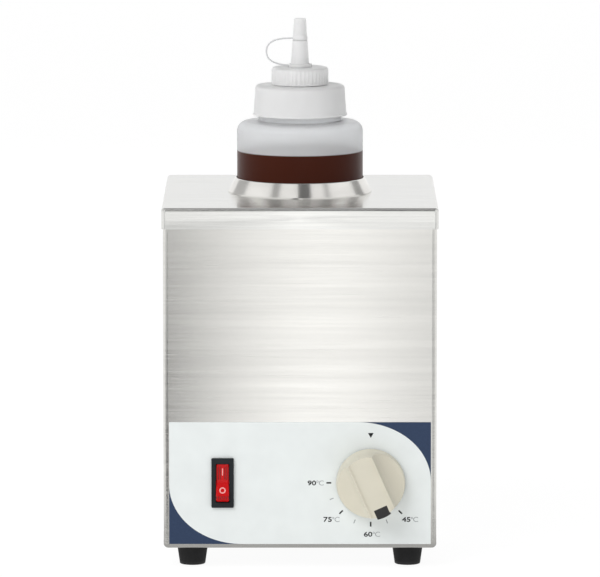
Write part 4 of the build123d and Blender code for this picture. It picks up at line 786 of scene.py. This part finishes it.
def make_rocker_marks():
    """Grip ridges on both halves of the rocker, a bar for on and a ring for off. The ridges are a darker copy of the
    rocker's red, painted shade between the ribs.
    """
    rocker = frame["nodes"]["switch_rocker"]
    low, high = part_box("switch_rocker")
    middle = (low.x + high.x) / 2
    half = (high.x - low.x) / 2
    ridges = []
    for column in (-0.78, -0.52, -0.27, 0.27, 0.52, 0.78):
        place, normal = face_point(rocker, middle + column * half, DIAL.z + 6.6 * MM)
        mesh = ridge(8.6 * MM, RIDGE_W, RIDGE_H)
        lie_on(mesh, place, normal)
        ridges.append(add_object("ridge", mesh))
    for column in (-0.75, -0.5, -0.25, 0.0, 0.25, 0.5, 0.75):
        place, normal = face_point(rocker, middle + column * half, DIAL.z - 9.4 * MM)
        mesh = ridge(2.4 * MM, RIDGE_W, RIDGE_H)
        lie_on(mesh, place, normal)
        ridges.append(add_object("ridge", mesh))
    # The ridges wear the darker red: painted shade between the ribs.
    settle(join("rocker_ridges", ridges), "rocker", "switch_red", material=RIDGE_PAINTED_SHADE_RED)

    place, normal = face_point(rocker, middle, DIAL.z + 7.4 * MM)
    bar = ridge(4.6 * MM, 0.7 * MM, 0.16 * MM)
    lie_on(bar, place, normal)
    settle(add_object("rocker_mark_on", bar), "rocker", "switch_red", material=MARK_WHITE)

    place, normal = face_point(rocker, middle, DIAL.z - 4.6 * MM)
    ring = bmesh.new()
    around, section = 40, 8
    loops = []
    for k in range(around):
        angle = TURN * k / around
        loop = []
        for j in range(section):
            tilt = TURN * j / section
            radius = 1.7 * MM + 0.42 * MM * math.cos(tilt)
            point = (radius * math.cos(angle), 0.14 * MM * math.sin(tilt), radius * math.sin(angle))
            loop.append(ring.verts.new(point))
        loops.append(loop)
    for first, second in zip(loops, loops[1:] + loops[:1]):
        for j in range(section):
            after = (j + 1) % section
            ring.faces.new((first[j], first[after], second[after], second[j]))
    lie_on(ring, place, normal)
    settle(add_object("rocker_mark_off", ring), "rocker", "switch_red", material=MARK_WHITE)


make_bottle()
make_sauce()
make_cap()
make_nozzle()
make_tip()
make_strap()
make_corners()
make_dial()
make_rocker_marks()


# ---------------------------------------------------------------- studio
def glow(name, strength, across=None):
    """An emissive material for a card. Its strength may change across the card, from a list of (x, strength)."""
    material = bpy.data.materials.new(name)
    material.use_nodes = True
    tree = material.node_tree
    tree.nodes.clear()
    light = tree.nodes.new("ShaderNodeEmission")
    light.inputs["Strength"].default_value = strength
    out = tree.nodes.new("ShaderNodeOutputMaterial")
    tree.links.new(light.outputs[0], out.inputs["Surface"])
    if across:
        first, last = across[0][0], across[-1][0]
        place = tree.nodes.new("ShaderNodeTexCoord")
        parts = tree.nodes.new("ShaderNodeSeparateXYZ")
        share = tree.nodes.new("ShaderNodeMapRange")
        ramp = tree.nodes.new("ShaderNodeValToRGB")
        tree.links.new(place.outputs["Object"], parts.inputs[0])
        tree.links.new(parts.outputs[0], share.inputs[0])
        share.inputs[1].default_value, share.inputs[2].default_value = first, last
        tree.links.new(share.outputs[0], ramp.inputs[0])
        tree.links.new(ramp.outputs[0], light.inputs["Color"])
        ramp.color_ramp.interpolation = "EASE"
        for k, (x, value) in enumerate(across):
            stops = ramp.color_ramp.elements
            spot = (x - first) / (last - first)
            stop = stops[0] if k == 0 else stops[-1] if k == len(across) - 1 else stops.new(spot)
            stop.position = spot
            stop.color = (value, value, value, 1)
    return material


def card(name, corners, strength, across=None):
    """A four-cornered studio card that only shows in reflections."""
    mesh = bmesh.new()
    mesh.faces.new([mesh.verts.new(corner) for corner in corners])
    made = add_object(name, mesh)
    made.data.materials.append(glow(name, strength, across))
    made.visible_camera = False
    made.visible_diffuse = False
    made.visible_transmission = False
    made.visible_shadow = False
    return made


def strip(name, azimuth, width, low, high, strength, distance=3.0):
    """A card over a range of directions round the object, in degrees of azimuth and elevation."""
    left, right = azimuth - width / 2, azimuth + width / 2
    directions = ((left, low), (right, low), (right, high), (left, high))
    return card(name, [around(a, e, distance) for a, e in directions], strength)


def around(azimuth, elevation, distance, height=0.2):
    """A point by its direction from the object: azimuth 0 in front, 90 to the right, in degrees."""
    a, e = math.radians(azimuth), math.radians(elevation)
    out = distance * math.cos(e)
    return (out * math.sin(a), -out * math.cos(a), height + distance * math.sin(e))


def softbox(name, place, width, height, watts, target=(0, 0, 0.15)):
    """A large soft lamp facing a target."""
    lamp = bpy.data.lights.new(name, "AREA")
    lamp.shape = "RECTANGLE"
    lamp.size, lamp.size_y = width, height
    lamp.energy = watts
    made = bpy.data.objects.new(name, lamp)
    bpy.context.scene.collection.objects.link(made)
    made.location = place
    made.rotation_euler = (Vector(target) - Vector(place)).to_track_quat("-Z", "Y").to_euler()
    made.visible_camera = False
    made.visible_glossy = False
    return made


def make_floor():
    """A plain pale floor, a little lit from within so that it stays as bright as the backdrop."""
    mesh = bmesh.new()
    bmesh.ops.create_grid(mesh, x_segments=1, y_segments=1, size=6)
    floor = add_object("floor", mesh)
    look = Look("floor", Roughness=0.9, Specular_IOR_level=0.1)
    look.set("Base Color", (0.12, 0.12, 0.12, 1))
    look.set("Emission Color", (1, 1, 1, 1))
    look.set("Emission Strength", 0.92)
    floor.data.materials.append(look.material)


def make_world(seen, diffuse):
    """An even white surround, weaker as a light on dull surfaces than where it is seen or mirrored."""
    world = bpy.data.worlds.new("studio")
    bpy.context.scene.world = world
    world.use_nodes = True
    tree = world.node_tree
    back = tree.nodes["Background"]
    path = tree.nodes.new("ShaderNodeLightPath")
    strength = tree.nodes.new("ShaderNodeMapRange")
    strength.inputs[3].default_value = seen
    strength.inputs[4].default_value = diffuse
    tree.links.new(path.outputs["Is Diffuse Ray"], strength.inputs[0])
    tree.links.new(strength.outputs[0], back.inputs["Strength"])
    back.inputs["Color"].default_value = (1, 1, 1, 1)


CARD_Z = 0.002  # the studio's flat cards lie just above the floor
CAMERA_PLACE = (0, -4.2987, 0.7245)
CAMERA_DOWN = 0.1275  # radians below the horizontal
CAMERA_LENS = 387


def make_cards():
    """Bright and dark cards round the object, which the polished steel mirrors."""
    front = [(-1.2, 0.75), (-0.6, 0.1), (-0.16, 0.05), (-0.115, 0.12), (-0.075, 0.55), (-0.04, 0.8), (0.0, 1.0)]
    front += [(0.04, 0.96), (0.075, 0.74), (0.115, 0.56), (0.35, 0.3), (1.2, 0.4)]
    lip = [(-1.2, 0.75), (-0.16, 0.78), (0.0, 1.0), (0.16, 0.8), (1.2, 0.5)]
    z = CARD_Z
    card("front_card", [(-1.2, -0.27, z), (1.2, -0.27, z), (1.2, -1.8, z), (-1.2, -1.8, z)], 1.5, front)
    card("lip_card", [(-1.2, -1.8, z), (1.2, -1.8, z), (1.2, -4.0, z), (-1.2, -4.0, z)], 1.5, lip)
    far = [(1.45 * x if abs(x) < 0.5 else x, value) for x, value in front]
    card("far_card", [(-1.2, -4.0, z), (1.2, -4.0, z), (1.2, -4.0, 2.6), (-1.2, -4.0, 2.6)], 1.5, far)
    card("sill_card", [(-0.3, 0.0, z), (0.3, 0.0, z), (0.3, -0.26, z), (-0.3, -0.26, z)], 0.45)
    card("back_card", [(-2.5, 2.5, 0), (2.5, 2.5, 0), (2.5, 2.5, 1.2), (-2.5, 2.5, 1.2)], 0.98)
    card("top_card", [(-1.5, -0.9, 2.2), (1.5, -0.9, 2.2), (1.5, 1.2, 2.2), (-1.5, 1.2, 2.2)], 0.3)
    strip("front_gap", 9, 26, 22, 58, 0.08)
    strip("left_gap", -49, 15, 18, 58, 0.45)
    strip("far_left_gap", -125, 30, 5, 50, 0.5)
    strip("right_gap", 54, 10, 18, 58, 0.6)
    strip("far_right_gap", 120, 20, 5, 50, 0.35)


def make_camera():
    """A long lens in front of the object and a little above it."""
    data = bpy.data.cameras.new("camera")
    data.lens = CAMERA_LENS
    data.sensor_width = 36
    data.clip_end = 50
    camera = bpy.data.objects.new("camera", data)
    bpy.context.scene.collection.objects.link(camera)
    camera.location = CAMERA_PLACE
    camera.rotation_euler = (math.pi / 2 - CAMERA_DOWN, 0, 0)
    bpy.context.scene.camera = camera


bpy.context.scene.view_settings.view_transform = "Standard"
make_floor()
make_world(1.0, 0.38)
make_cards()
softbox("key_light", around(-36, 38, 2.2), 1.5, 1.5, 24)
softbox("fill_light", around(62, 48, 2.4), 1.2, 1.6, 4)
make_camera()
